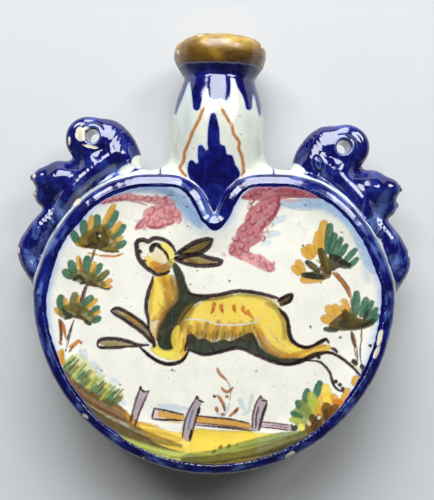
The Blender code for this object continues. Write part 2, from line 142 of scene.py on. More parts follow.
def closed_from_half(half):
    """A closed outline from its right half, which starts and ends on the Y axis."""
    half = np.array(half)
    half[0, 0] = half[-1, 0] = 0.0
    return np.vstack([half, half[-2:0:-1] * [-1, 1]])


def signed_distance(x, y, outline):
    """Distance to a closed outline, below zero inside it."""
    best = np.full(x.shape, 1e9, np.float32)
    within = np.zeros(x.shape, bool)
    for (ax, ay), (bx, by) in zip(outline, np.roll(outline, -1, axis=0)):
        ex, ey = bx - ax, by - ay
        along = np.clip(((x - ax) * ex + (y - ay) * ey) / max(ex * ex + ey * ey, 1e-12), 0, 1)
        np.minimum(best, (x - ax - along * ex) ** 2 + (y - ay - along * ey) ** 2, out=best)
        if ay != by:
            within ^= ((ay > y) != (by > y)) & (x < ax + (y - ay) * ex / ey)
    best = np.sqrt(best)
    return np.where(within, -best, best)


class FlatMap:
    """Distance to an outline, kept on a grid and read between its points."""

    def __init__(self, outline, margin):
        self.low = outline.min(0) - margin
        size = np.ceil((outline.max(0) + margin - self.low) / MAP_STEP).astype(int) + 1
        x, y = np.meshgrid(self.low[0] + np.arange(size[0]) * MAP_STEP,
                           self.low[1] + np.arange(size[1]) * MAP_STEP, indexing="ij")
        self.grid = signed_distance(x.astype(np.float32), y.astype(np.float32), outline)

    def __call__(self, x, y):
        u, v = (x - self.low[0]) / MAP_STEP, (y - self.low[1]) / MAP_STEP
        u = np.clip(u, 0, self.grid.shape[0] - 1.001)
        v = np.clip(v, 0, self.grid.shape[1] - 1.001)
        i, j = u.astype(np.int32), v.astype(np.int32)
        u, v = u - i, v - j
        g = self.grid
        return ((g[i, j] * (1 - u) + g[i + 1, j] * u) * (1 - v)
                + (g[i, j + 1] * (1 - u) + g[i + 1, j + 1] * u) * v)


def rim_outline():
    """The heart that both rim coils follow, with its notch."""
    half = [polar(a, RIM_LINE_RADIUS) for a in range(-90, 0, 10)]
    half += [polar(a, share * RIM_LINE_RADIUS) for a, share in SHOULDER_SHARES]
    half += [np.array(p) * RIM_LINE_RADIUS for p in NOTCH_SHARES]
    bottom = np.array([0.0, NOTCH_BOTTOM_Y_SHARE * RIM_LINE_RADIUS])
    half += [bottom + polar(a, NOTCH_BOTTOM_RADIUS_SHARE * RIM_LINE_RADIUS) for a in (-15, -40, -65, -90)]
    return smooth_line(closed_from_half(half), 3, closed=True)


def wall_outline():
    """The line of the side wall, which bridges the notch with the saddle."""
    half = [polar(a, RIM_LINE_RADIUS) for a in range(-90, 0, 10)]
    half += [polar(a, share * RIM_LINE_RADIUS) for a, share in SHOULDER_SHARES + SADDLE_SHARES]
    return smooth_line(closed_from_half(half), 3, closed=True)


RIM_LINE = rim_outline()
NECK_FOOT_Y = RIM_LINE[:, 1].max() + COIL_CLEARANCE
NECK_TOP_Y = NECK_FOOT_Y + NECK_LENGTH
LIP_FOOT_Y = NECK_TOP_Y + LIP_GAP
NOTCH_BOTTOM_Y = (NOTCH_BOTTOM_Y_SHARE - NOTCH_BOTTOM_RADIUS_SHARE) * RIM_LINE_RADIUS
MIDDLE_Y = (LIP_FOOT_Y + LIP_HEIGHT - RIM_LINE_RADIUS - WALL_OUT) / 2
rim_map = FlatMap(RIM_LINE, 22)
wall_map = FlatMap(wall_outline(), 42)


def wall_radius(angle):
    """Distance from the heart's middle to the wall's outer face at mid-depth."""
    table = np.array(SHOULDER_SHARES + SADDLE_SHARES)
    return np.interp(angle, table[:, 0], table[:, 1]) * RIM_LINE_RADIUS + WALL_OUT


def handle_place(angle, beyond):
    """A flat point beyond the wall's face, on the right handle."""
    return polar(angle, wall_radius(angle) + beyond)


def handle_line(shares, reach, radius, offset=0.0):
    """Stations (x, y, z, radius) along a handle roll."""
    rows = []
    for angle, beyond, share in shares:
        place = handle_place(angle, beyond * reach)
        rows.append((place[0], place[1], MID_Z + offset, share * radius))
    return smooth_line(rows, 4)


# ---------------------------------------------------------------- the glazed form

def soft_join(a, b, k):
    """The union of two forms with a fillet of about k."""
    h = np.maximum(k - np.abs(a - b), 0) / k
    return np.minimum(a, b) - h * h * k * 0.25


def soft_cut(a, b, k):
    """What two forms share, with an edge rounded by about k."""
    return -soft_join(-a, -b, k)


def chain(x, y, z, stations):
    """A roll through stations of (x, y, z, radius)."""
    best = np.full(x.shape, 1e9)
    for a, b in zip(stations, stations[1:]):
        e = b - a
        t = np.clip(((x - a[0]) * e[0] + (y - a[1]) * e[1] + (z - a[2]) * e[2]) / (e[:3] @ e[:3]), 0, 1)
        gap = np.sqrt((x - a[0] - t * e[0]) ** 2 + (y - a[1] - t * e[1]) ** 2 + (z - a[2] - t * e[2]) ** 2)
        np.minimum(best, gap - a[3] - t * e[3], out=best)
    return best


def ball(x, y, z, centre, radius):
    return np.sqrt((x - centre[0]) ** 2 + (y - centre[1]) ** 2 + (z - centre[2]) ** 2) - radius


def oval(x, y, z, centre, radii, turn):
    """An ellipsoid turned in the flat."""
    c, s = math.cos(turn), math.sin(turn)
    u, v, w = x - centre[0], y - centre[1], z - centre[2]
    u, v = c * u + s * v, c * v - s * u
    near = np.sqrt((u / radii[0]) ** 2 + (v / radii[1]) ** 2 + (w / radii[2]) ** 2)
    steep = np.sqrt((u / radii[0] ** 2) ** 2 + (v / radii[1] ** 2) ** 2 + (w / radii[2] ** 2) ** 2)
    return near * (near - 1) / np.maximum(steep, 1e-9)


def turned_outline():
    """The section of the neck and lip as (radius, height), with its mirror image."""
    spread, flare = NECK_BULB_RADIUS - NECK_TOP_RADIUS, LIP_RADIUS - NECK_TOP_RADIUS
    land = NECK_TOP_RADIUS - MOUTH_RADIUS
    neck = [(NECK_TOP_RADIUS + s * spread, NECK_FOOT_Y + r * NECK_LENGTH) for r, s in NECK_SHARES]
    lip = [(NECK_TOP_RADIUS + s * flare, LIP_FOOT_Y + r * LIP_HEIGHT) for r, s in LIP_OUTER_SHARES[1:]]
    crest = [(MOUTH_RADIUS + s * land, LIP_FOOT_Y + r * LIP_HEIGHT) for r, s in LIP_INNER_SHARES]
    foot = (neck[0][0] - 3.0, NECK_FOOT_Y - 7)
    line = smooth_line([foot] + neck + lip + crest, 4)
    return np.vstack([line, line[::-1] * [-1, 1]])


def bore_outline():
    """The section of the mouth's bore and the passage, with its mirror image."""
    land = NECK_TOP_RADIUS - MOUTH_RADIUS
    crest = [(MOUTH_RADIUS + s * land, LIP_FOOT_Y + r * LIP_HEIGHT) for r, s in LIP_INNER_SHARES[2:]]
    top = [(LIP_RADIUS + 12, NECK_TOP_Y + LIP_HEIGHT + 30), (LIP_RADIUS, NECK_TOP_Y + LIP_HEIGHT + 3)]
    low = [(MOUTH_RADIUS, NECK_TOP_Y + 4), (PASSAGE_RADIUS, NECK_TOP_Y - 4), (PASSAGE_RADIUS, 25.0)]
    line = np.array(top + crest + low)
    return np.vstack([line, line[::-1] * [-1, 1]])


turned_map = FlatMap(turned_outline(), 30)
bore_map = FlatMap(bore_outline(), 12)

TAIL = handle_line(TAIL_SHARES, TAIL_REACH, TAIL_RADIUS)
STEM = handle_line(STEM_SHARES, TAIL_REACH, STEM_RADIUS)
HAUNCH = handle_line(HAUNCH_SHARES, HAUNCH_REACH, HAUNCH_RADIUS)
WINGS = [handle_line(WING_SHARES, WING_REACH, WING_RADIUS, side * WING_OFFSET) for side in (1, -1)]
KNOB = handle_place(48.9, 21.7)
CORD_HOLE = handle_place(50.1, 22.2)
CHEST = handle_place(33.9, 10.6)
# Balls as (x, y, height above the middle, radius)
BREASTS = ((82.2, 51.0, 1.6, 5.4), (81.0, 43.2, -0.4, 5.9))
TIPS = ((87.2, 51.6, 1.6, 1.7), (86.2, 43.8, -0.4, 1.6))
# Rolls on the right handle that only the looks have, through stations given in the same way
RIDGE = np.array(((46.5, 63.0, 7.4, 4.2), (51.5, 60.0, 7.2, 4.4), (57.0, 55.8, 7.0, 4.2),
                  (63.0, 52.9, 6.6, 4.0), (69.0, 51.4, 6.2, 4.0), (75.0, 50.4, 5.8, 4.4)))
NAPE = np.array(((57.0, 60.0, 0.0, 6.5), (65.0, 57.2, 0.0, 5.8)))
WAIST = np.array(((76.8, 40.5, 0.0, 3.6), (78.3, 36.0, 0.0, 3.4), (80.3, 31.0, 0.0, 3.6)))
# How far the left and the right cord hole stand from their places in the solids
HOLE_SHIFTS = ((-1.2, -0.3), (-0.8, -1.8))


def lumps(x, y, z, size):
    """Uneven hand work, between -1 and 1, with bumps of about a size."""
    a, b, c = 3.1 * x / size, 3.1 * y / size, 3.1 * z / size
    return (np.sin(a + 1.3 * np.sin(0.6 * c + 0.5)) * np.sin(b + 1.1 * np.sin(0.7 * a))
            * 0.6 + np.sin(1.7 * a + 0.9 * b + 2.0) * np.sin(1.9 * c + 0.8 * b) * 0.4)


def handle_form(x, y, z, right):
    """One figure handle, on the right or mirrored to it, before it leans."""
    up = z - MID_Z
    flatter = MID_Z + up / (1 + TAIL_THICKENING * np.clip((75 - y) / 16, 0, 1))
    form = chain(x, y, flatter, TAIL)
    form = soft_join(form, chain(x, y, flatter, STEM), 2.5)
    form = soft_join(form, chain(x, y, up, NAPE), 3.0)
    across = np.hypot(x - KNOB[0], y - KNOB[1])
    out = np.maximum(across - KNOB_RADIUS + KNOB_EDGE, 0)
    beyond = np.maximum(np.abs(up) - KNOB_DEPTH / 2 + KNOB_EDGE, 0)
    form = soft_join(form, np.hypot(out, beyond) - KNOB_EDGE, 2.0)
    shift = [np.where(right, on_right, on_left) for on_left, on_right in zip(*HOLE_SHIFTS)]
    around = np.hypot(x - CORD_HOLE[0] - shift[0], y - CORD_HOLE[1] - shift[1])
    collar = np.hypot(around - CORD_HOLE_RADIUS - COLLAR_RADIUS, np.abs(up) - KNOB_DEPTH / 2 - 0.6)
    form = soft_join(form, collar - COLLAR_RADIUS, 1.6)
    form = soft_join(form, oval(x, y, z, (*CHEST, MID_Z), CHEST_RADII, CHEST_TURN), 3.0)
    for balls, fillet in ((BREASTS, 2.6), (TIPS, 1.0)):
        for *place, lift, radius in balls:
            form = soft_join(form, ball(x, y, z, (*place, MID_Z + lift), radius), fillet)
    for height, line, fillet in ((np.abs(up), RIDGE, 3.0), (up, WAIST, 3.0), (z, HAUNCH, 3.0),
                                 (z, WINGS[0], 2.6), (z, WINGS[1], 2.6)):
        form = soft_join(form, chain(x, y, height, line), fillet)
    form = form + 0.18 * lumps(x, y, z + 30 * right, 11)
    a, b = x - GROOVE_PLACE[0], y - GROOVE_PLACE[1]
    groove = np.hypot((a + 0.25 * b) / 1.9, b / 3.4)
    form = form + np.where(right & (up > 0), 0.5 * np.exp(-((groove - 1) / 0.28) ** 2), 0)
    return soft_cut(form, CORD_HOLE_RADIUS - around, 1.2)


def lean_back(x, y):
    """The neck's and handles' own place of a point."""
    c, s = math.cos(LEAN), math.sin(LEAN)
    y = y - LEAN_PIVOT_Y
    return c * x - s * y, s * x + c * y + LEAN_PIVOT_Y


def sloping_swell(x, y, z):
    """The neck's swell carried down into the notches, front and back."""
    low, high = NOTCH_BOTTOM_Y - 4, NECK_FOOT_Y + 4
    t = np.clip((y - low) / (high - low), -0.3, 1)
    sunk = np.abs(z - MID_Z) + TONGUE_FALL * (1 - t)
    return np.maximum(np.hypot(x - SWELL_SHIFT * t, sunk) - NECK_BULB_RADIUS + SWELL_SINK * t * t, y - high)


def parts(x, y, z):
    """Distances to the body, the neck with its lip, and the handles, before they are joined."""
    rim = rim_map(x, y)
    level = np.clip((z - MID_Z) / WALL_HALF_DEPTH, -1, 1)
    wall = wall_map(x, y) - WALL_EDGE_OUT - WALL_BARREL * (1 - level ** 2)
    body = soft_cut(wall, np.abs(z - MID_Z) - WALL_HALF_DEPTH, 1.5)
    lx, ly = lean_back(x, y)
    near = (np.abs(lx) < 40) & (ly > 25)
    neck = np.full(x.shape, FAR)
    radius = np.hypot(lx[near], z[near] - MID_Z)
    wobble = np.interp(ly[near], (NECK_TOP_Y, NECK_TOP_Y + 6), (0.1, 0.4))
    neck[near] = turned_map(radius, ly[near]) + lumps(lx[near], ly[near], z[near], 11) * wobble
    # The fillet at the neck's foot is wide at the sides and narrow over the front and the back
    joined = soft_join(body, neck, np.clip(15 - 0.6 * np.abs(z - MID_Z), 2.5, 9.0))
    t = np.clip((rim + 16) / 14, 0, 1)
    rise = (FACE_RISE + BOTTOM_RISE * np.clip(-(y + 25) / 30, 0, 1)) * t * t * (3 - 2 * t)
    prism = soft_cut(rim + 1.5 * (z > MID_Z), np.maximum(z - FACE_Z - rise, BACK_Z - z), 0.5)
    joined = soft_join(joined, prism, 1.0)
    close = (np.abs(x) < 30) & (y > 20) & (y < 66)
    swell = np.full(x.shape, FAR)
    swell[close] = sloping_swell(x[close], y[close], z[close])
    joined = soft_join(joined, swell, 2.0)
    front = np.hypot(np.where(rim < -1.2, 0.5, 0.75) * (rim + 1.2), z - FRONT_RIM_Z)
    coils = np.minimum(front, np.hypot(rim, z - BACK_RIM_Z)) - RIM_RADIUS + 0.1 * lumps(x, y, z, 8)
    joined = soft_join(joined, coils, np.where((rim < -1.2) & (z > MID_Z), 1.0, 2.4))
    joined[near] = soft_cut(joined[near], -bore_map(radius, ly[near]), 0.8)
    side = np.abs(lx)
    near = (side > 24) & (side < 104) & (ly > -20) & (ly < 92)
    handle = np.full(x.shape, FAR)
    handle[near] = handle_form(side[near], ly[near], z[near], lx[near] > 0)
    return joined, body, prism, neck, coils, handle


def form(x, y, z):
    """Distance to the glazed flask's skin, below zero inside it."""
    joined, *_, handle = parts(x, y, z)
    return soft_cut(soft_join(joined, handle, 3.2), -z, 0.6)


def slope(x, y, z, step=0.25):
    """The direction in which the distance grows."""
    return np.stack([form(x + step, y, z) - form(x - step, y, z),
                     form(x, y + step, z) - form(x, y - step, z),
                     form(x, y, z + step) - form(x, y, z - step)], 1) / (2 * step)


def sampled_form(low, high, step):
    """The form's distances on a grid, worked out only near the skin."""
    coarse = 4
    size = np.ceil((np.array(high) - low) / (step * coarse)).astype(int)
    blocks = [low[i] + (np.arange(size[i]) + 0.5) * step * coarse for i in range(3)]
    centres = np.stack(np.meshgrid(*blocks, indexing="ij"), -1).reshape(-1, 3)
    rough = form(*centres.T).reshape(size)
    reach = step * coarse * 0.87 + 3.0
    values = np.kron(np.sign(rough).astype(np.float32) * 9, np.ones([coarse] * 3, np.float32))
    near = np.argwhere(np.abs(rough) < reach)
    offsets = np.stack(np.meshgrid(*[np.arange(coarse)] * 3, indexing="ij"), -1).reshape(-1, 3)
    index = (near[:, None, :] * coarse + offsets).reshape(-1, 3)
    points = low + (index + 0.5) * step
    values[tuple(index.T)] = form(*points.T)
    return values


def surface_net(values, low, step):
    """Vertices and outward quads of the zero surface."""
    inside = values < 0
    n = np.array(values.shape)
    count = np.zeros(n - 1, np.uint8)
    cells = [(slice(a, n[0] - 1 + a), slice(b, n[1] - 1 + b), slice(c, n[2] - 1 + c))
             for a in (0, 1) for b in (0, 1) for c in (0, 1)]
    for cell in cells:
        count += inside[cell]
    active = (count > 0) & (count < 8)
    place = np.argwhere(active)
    index = np.full(active.shape, -1, np.int64)
    index[active] = np.arange(len(place))
    corner = np.array([[a, b, c] for a in (0, 1) for b in (0, 1) for c in (0, 1)])
    held = np.stack([values[tuple((place + c).T)] for c in corner], 1)
    total, crossings = np.zeros((len(place), 3)), np.zeros(len(place))
    for i in range(8):
        for j in range(i + 1, 8):
            if np.abs(corner[i] - corner[j]).sum() == 1:
                a, b = held[:, i], held[:, j]
                crosses = (a < 0) != (b < 0)
                t = np.where(crosses, a / np.where(crosses, a - b, 1), 0)
                total += crosses[:, None] * (corner[i] + t[:, None] * (corner[j] - corner[i]))
                crossings += crosses
    points = low + (place + total / crossings[:, None] + 0.5) * step
    quads = []
    for axis in range(3):
        first = inside.take(range(n[axis] - 1), axis)
        cross = np.argwhere(first != inside.take(range(1, n[axis]), axis))
        u, v = (axis + 1) % 3, (axis + 2) % 3
        beside = cross[:, [u, v]]
        cross = cross[((beside > 0) & (beside < n[[u, v]] - 1)).all(1)]
        ring = []
        for du, dv in ((-1, -1), (0, -1), (0, 0), (-1, 0)):
            cube = cross.copy()
            cube[:, u] += du
            cube[:, v] += dv
            ring.append(index[tuple(cube.T)])
        quad = np.stack(ring, 1)
        low_inside = inside[tuple(cross.T)]
        quads.append(np.where(low_inside[:, None], quad, quad[:, ::-1]))
    return points, np.vstack(quads)


def make_mesh(name, points, faces, normals):
    """A mesh object in metres with its own smooth normals."""
    mesh = bpy.data.meshes.new(name)
    place = (points - [0, MIDDLE_Y, 0]) * 0.001
    mesh.vertices.add(len(place))
    mesh.vertices.foreach_set("co", place.astype(np.float32).ravel())
    mesh.loops.add(faces.size)
    mesh.loops.foreach_set("vertex_index", faces.astype(np.int32).ravel())
    mesh.polygons.add(len(faces))
    mesh.polygons.foreach_set("loop_start", np.arange(0, faces.size, faces.shape[1], dtype=np.int32))
    mesh.update(calc_edges=True)
    mesh.polygons.foreach_set("use_smooth", np.ones(len(faces), bool))
    mesh.normals_split_custom_set_from_vertices(normals)
    made = bpy.data.objects.new(name, mesh)
    bpy.context.scene.collection.objects.link(made)
    return made


# ---------------------------------------------------------------- pieces of the glazed form

RIM_SEAM = 1.6
FINE_PIECES = ((
    "neck_glaze", "lip_glaze", "front_rim_glaze", "left_handle_glaze", "right_handle_glaze"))


def drawn(points):
    """Points moved onto the skin."""
    for _ in range(2):
        g = slope(*points.T)
        points = points - (form(*points.T) / np.maximum((g * g).sum(1), 0.05))[:, None] * g
    return points


def facing(points):
    """The skin's normals."""
    made = slope(*points.T)
    return made / np.linalg.norm(made, axis=1)[:, None]


def finer(points, faces):
    """Each face cut in four. The piece's outer edge keeps its line."""
    edges = np.sort(np.stack([faces, np.roll(faces, -1, axis=1)], -1).reshape(-1, 2), axis=1)
    edges, index, uses = np.unique(edges, axis=0, return_inverse=True, return_counts=True)
    middles = points[edges].mean(1)
    middles[uses > 1] = drawn(middles[uses > 1])
    centres = drawn(points[faces].mean(1))
    side = len(points) + index.reshape(faces.shape)
    centre = len(points) + len(edges) + np.arange(len(faces))
    made = [np.stack([faces[:, k], side[:, k], centre, side[:, k - 1]], 1) for k in range(4)]
    points = np.vstack([points, middles, centres])
    return points, np.vstack(made), facing(points)


def glazed_pieces():
    """The flask's skin, cut into named pieces that share their edges. The front face is left out."""
    low, high = np.array([-98.0, -91.0, -3.0]), np.array([98.0, 124.0, 52.0])
    points, quads = surface_net(sampled_form(low, high, VOXEL), low, VOXEL)
    points = drawn(points)
    normals = facing(points)
    x, y, z = points[quads].mean(1).T
    joined, body, prism, neck, coils, handle = parts(x, y, z)
    lx, ly = lean_back(x, y)
    rim = rim_map(x, y)
    label = np.full(len(quads), "body_glaze", dtype=object)
    label[(coils < np.minimum(body, prism)) & (z > MID_Z)] = "front_rim_glaze"
    label[(coils < np.minimum(body, prism)) & (z < MID_Z)] = "back_rim_glaze"
    swell = (body > 0.3) & (prism > 0.3) & (coils > 0.3) & (neck > 0.3) & (np.abs(x) < 24) & (y > 25)
    label[swell & (z > MID_Z)] = "front_rim_glaze"
    label[swell & (z < MID_Z)] = "back_rim_glaze"
    label[(rim < -RIM_SEAM) & (z < MID_Z)] = "back_face_glaze"
    on_neck = (ly > NECK_FOOT_Y + 1.0) & (np.abs(lx) < 30)
    label[on_neck] = "neck_glaze"
    label[on_neck & ((ly > LIP_FOOT_Y) | (np.hypot(lx, z - MID_Z) < 14))] = "lip_glaze"
    on_handle = (handle < joined) & (np.abs(lx) > 24)
    label[on_handle & (lx < 0)] = "left_handle_glaze"
    label[on_handle & (lx > 0)] = "right_handle_glaze"
    label[(rim < -RIM_SEAM) & (z > MID_Z) & ~on_neck] = ""
    made = {}
    for name in sorted(set(label) - {""}):
        faces = quads[label == name]
        used, faces = np.unique(faces, return_inverse=True)
        made[name] = (points[used], faces.reshape(-1, 4), normals[used])
        if name in FINE_PIECES:
            made[name] = finer(*made[name][:2])
    return made


def painted_face_net():
    """A fine net over the painted face, up the inner slope of its rim, which tucks under the rim's glaze."""
    low, high = RIM_LINE.min(0), RIM_LINE.max(0)
    x, y = np.meshgrid(np.arange(low[0], high[0], FACE_STEP), np.arange(low[1], high[1], FACE_STEP),
                       indexing="ij")
    rim = rim_map(x, y)
    kept = rim < -0.5
    index = np.full(x.shape, -1)
    index[kept] = np.arange(kept.sum())
    x, y, rim = x[kept], y[kept], rim[kept]
    z = np.full(x.shape, FACE_Z + 0.2)
    near = rim > -17
    z[near] += 1.2
    for _ in range(6):
        gap = form(x[near], y[near], z[near])
        rise = (form(x[near], y[near], z[near] + 0.1) - gap) / 0.1
        z[near] -= np.clip(gap / np.maximum(rise, 0.25), -1.0, 1.0)
    z[~near] = FACE_Z
    points = np.stack([x, y, z], 1)
    normals = np.tile([0.0, 0.0, 1.0], (len(x), 1))
    normals[near] = slope(x[near], y[near], z[near])
    normals /= np.linalg.norm(normals, axis=1)[:, None]
    tuck = np.clip((rim + RIM_SEAM + 1.3) / 0.7, 0, 1)
    points[:, 2] -= 0.07 * tuck * tuck * (3 - 2 * tuck)
    quads = np.stack([index[:-1, :-1], index[1:, :-1], index[1:, 1:], index[:-1, 1:]], -1).reshape(-1, 4)
    return points, quads[(quads >= 0).all(1)], normals


# ---------------------------------------------------------------- painting

PX = 3
LATTICE = np.random.default_rng(7).random((64, 64)).astype(np.float32)
PIGMENTS = {
    "ink": (30, 14, 20), "soft_ink": (84, 56, 62), "black": (20, 16, 20), "yellow": (240, 207, 82),
    "lemon": (240, 224, 96), "ochre": (206, 142, 44), "amber": (212, 154, 54), "orange": (204, 110, 38),
    "rust": (168, 92, 38), "brown": (104, 66, 34), "umber": (74, 58, 26), "olive": (122, 100, 38),
    "moss": (96, 92, 44), "deep": (38, 44, 34), "pine": (50, 62, 42), "leaf": (48, 95, 70),
    "sage": (122, 138, 70), "lime": (172, 182, 72), "sky": (150, 182, 218), "slate": (100, 122, 166),
    "dusk": (96, 132, 190), "pink": (222, 142, 148), "rose": (180, 92, 104), "maroon": (128, 44, 60),
    "lilac": (166, 149, 162), "blush": (222, 198, 204), "white": (240, 237, 230), "cream": (226, 206, 150)}
WHITE = np.array(PIGMENTS["white"]) / 255
# How a stroke's width runs along it
SHAPES = {"line": (0.5, 0.9, 1, 1, 1, 0.9, 0.5), "leaf": (0.8, 1.0, 1.0, 0.9, 0.7), "even": (1, 1),
          "drop": (0.5, 0.8, 1.0, 1.0), "comma": (1.0, 0.9, 0.6, 0.3), "blade": (0.3, 0.9, 1, 0.8, 0.3)}
# Parts of the front view that the painting's places are counted in, as (left, top, points to a pixel)
VIEWS = {"deer": (100, 220, 6.533), "right": (280, 200, 7.84), "left": (40, 190, 10.45),
         "ground": (30, 320, 7.84), "sprig": (200, 320, 7.84), "post": (190, 380, 11.2), "stem": (160, 60, 4),
         "cloud": (0, 100, 7.226), "streak": (217, 100, 7.226), "neck": (140, 20, 7.127)}
# The camera's place about the model's origin and its distance from the painted face, in millimetres
CAMERA = (1.35, 3.1, 418)
FACE_AWAY = 371
# Its focal length and the middle of its view, in pixels
FOCAL = 822
VIEW_MIDDLE = (217, 250)


def mottle(u, v, size, seed=0):
    """Soft noise between 0 and 1 with lumps of a size."""
    u, v = u / size + 17.31 * seed, v / size + 9.73 * seed
    i, j = np.floor(u).astype(np.int64), np.floor(v).astype(np.int64)
    a, b = u - i, v - j
    a, b = a * a * (3 - 2 * a), b * b * (3 - 2 * b)
    i, j, k, m = i % 64, j % 64, (i + 1) % 64, (j + 1) % 64
    return ((LATTICE[i, j] * (1 - a) + LATTICE[k, j] * a) * (1 - b)
            + (LATTICE[i, m] * (1 - a) + LATTICE[k, m] * a) * b)


class Canvas:
    """Glaze painting laid flat over the front view, in pixels of the photograph's frame."""

    def __init__(self):
        self.low = np.array([8.0, 20.0])
        self.shape = (460 * PX, 412 * PX)
        self.u, self.v = np.meshgrid(self.low[0] + np.arange(self.shape[1]) / PX,
                                     self.low[1] + np.arange(self.shape[0]) / PX)
        self.ink = np.ones(self.shape + (3,)) * WHITE
        self.blue = np.zeros(self.shape, np.float32)
        self.count = 0

    def window(self, low, high):
        """The part of the canvas between two corners."""
        first = np.clip(((low - self.low) * PX).astype(int), 0, None)
        last = np.clip(((high - self.low) * PX).astype(int) + 2, 1, None)
        rows, columns = slice(first[1], last[1]), slice(first[0], last[0])
        return (rows, columns), self.u[rows, columns], self.v[rows, columns]

    def lay(self, where, gap, colour, alpha, soft, grain):
        """Lays pigment where the gap is below zero, denser at its edge."""
        self.count += 1
        u, v = self.u[where], self.v[where]
        edge = gap + (mottle(u, v, 1.6, self.count) - 0.5) * min(0.55, soft)
        cover = np.clip(0.5 - edge / soft, 0, 1) * alpha * (1 - grain)
        if colour == "cobalt":
            self.blue[where] += (1 - self.blue[where]) * cover
            return
        shade = 1 - 0.20 * np.clip(1 + gap / 0.9, 0, 1)
        pigment = np.array(PIGMENTS[colour]) / 255
        self.ink[where] += (pigment * shade[..., None] - self.ink[where]) * cover[..., None]
        self.blue[where] *= 1 - cover

    def stroke(self, points, width, colour, alpha=0.95, shape="line", grain=0.25, soft=0.6):
        """One brush stroke."""
        path = smooth_line(points, 4)
        shares = SHAPES[shape]
        half = np.interp(np.linspace(0, 1, len(path)), np.linspace(0, 1, len(shares)), shares) * width / 2
        where, u, v = self.window(path.min(0) - width / 2 - 2, path.max(0) + width / 2 + 2)
        gap, across, along = np.full(u.shape, 99.0), np.zeros(u.shape), np.zeros(u.shape)
        done = 0.0
        for a, b, wide, next_wide in zip(path, path[1:], half, half[1:]):
            e = b - a
            length = math.hypot(*e) + 1e-6
            t = np.clip(((u - a[0]) * e[0] + (v - a[1]) * e[1]) / length ** 2, 0, 1)
            near = np.hypot(u - a[0] - t * e[0], v - a[1] - t * e[1]) - wide - t * (next_wide - wide)
            closer = near < gap
            gap[closer] = near[closer]
            across[closer] = (((u - a[0]) * e[1] - (v - a[1]) * e[0]) / length)[closer]
            along[closer] = (done + t * length)[closer]
            done += length
        streaks = mottle(along * 0.22, across, 0.8, self.count) * grain
        self.lay(where, gap, colour, alpha, soft, streaks)

    def area(self, points, colour, alpha=0.95, grain=0.15, soft=0.8, lean=0.0):
        """A filled place with streaks that run along a direction."""
        outline = smooth_line(points, 3, closed=True)
        where, u, v = self.window(outline.min(0) - 3, outline.max(0) + 3)
        gap = signed_distance(u.astype(np.float32), v.astype(np.float32), outline)
        c, s = math.cos(lean), math.sin(lean)
        streaks = mottle((u * c + v * s) * 0.3, v * c - u * s, 1.6, self.count) * grain
        self.lay(where, gap, colour, alpha, soft, streaks)

    def read(self, u, v):
        """The colour and the share of cobalt at places of the view."""
        a = np.clip((u - self.low[0]) * PX, 0, self.shape[1] - 1.01)
        b = np.clip((v - self.low[1]) * PX, 0, self.shape[0] - 1.01)
        i, j = b.astype(int), a.astype(int)
        a, b = (a - j)[:, None], (b - i)[:, None]
        both = np.dstack([self.ink, self.blue])
        return ((both[i, j] * (1 - a) + both[i, j + 1] * a) * (1 - b)
                + (both[i + 1, j] * (1 - a) + both[i + 1, j + 1] * a) * b)


def placed(view, flat):
    """Pairs of numbers in a view's points, as pixels."""
    left, top, scale = VIEWS[view]
    return np.array(flat, float).reshape(-1, 2) / scale + [left, top]


def paint_strokes(canvas, view, rows, shape="line", grain=0.25, soft=0.6):
    """Strokes given as (pigment, width, strength, x, y, x, y ...) in a view's points."""
    for colour, width, alpha, *flat in rows:
        canvas.stroke(placed(view, flat), width / VIEWS[view][2], colour, alpha, shape, grain, soft)


def paint_rows(canvas, view, shape, rows):
    """Full strokes given as (pigment, width, x, y, x, y ...) in a view's points."""
    for colour, width, *flat in rows:
        canvas.stroke(placed(view, flat), width / VIEWS[view][2], colour, shape=shape)


def paint_areas(canvas, view, rows, soft=0.8):
    """Filled places given as (pigment, strength, lean, x, y, x, y ...) in a view's points."""
    for colour, alpha, lean, *flat in rows:
        canvas.area(placed(view, flat), colour, alpha, soft=soft, lean=math.radians(lean))


def paint_ground_coat(canvas):
    """The warm white, the blue band inside the rim and the pale washes beside it."""
    u, v = canvas.u, canvas.v
    tone = mottle(u, v, 46, 1) * 0.6 + mottle(u, v, 17, 2) * 0.4 - 0.5
    canvas.ink += tone[..., None] * np.array([0.030, 0.026, 0.034])
    x = (u - VIEW_MIDDLE[0]) * FACE_AWAY / FOCAL + CAMERA[0]
    y = -(v - VIEW_MIDDLE[1]) * FACE_AWAY / FOCAL + CAMERA[1] + MIDDLE_Y
    rim = canvas.rim = rim_map(x, y)
    turn = np.arctan2(y, x)
    low = np.clip(-np.sin(turn), 0, 1)
    inner = -2.5 + 1.7 * low ** 3 + (mottle(u, v, 16, 3) - 0.5) * 0.9 + (mottle(u, v, 4, 4) - 0.5) * 0.4
    inner -= 0.5 * np.clip(1 - np.abs(y + 4) / 30, 0, 1)
    fringe = np.clip((rim - inner + 4.6) / 4.6, 0, 1) ** 2.0 * (0.55 + 0.45 * mottle(u, v, 9, 5))
    fringe *= np.clip(1.1 - 0.8 * low, 0, 1)
    pale = np.array([120, 150, 214]) / 255
    canvas.ink += (pale - canvas.ink) * (0.66 * fringe * (rim < 1))[..., None]
    canvas.band = np.clip(0.5 + (rim - inner) / 0.55, 0, 1)


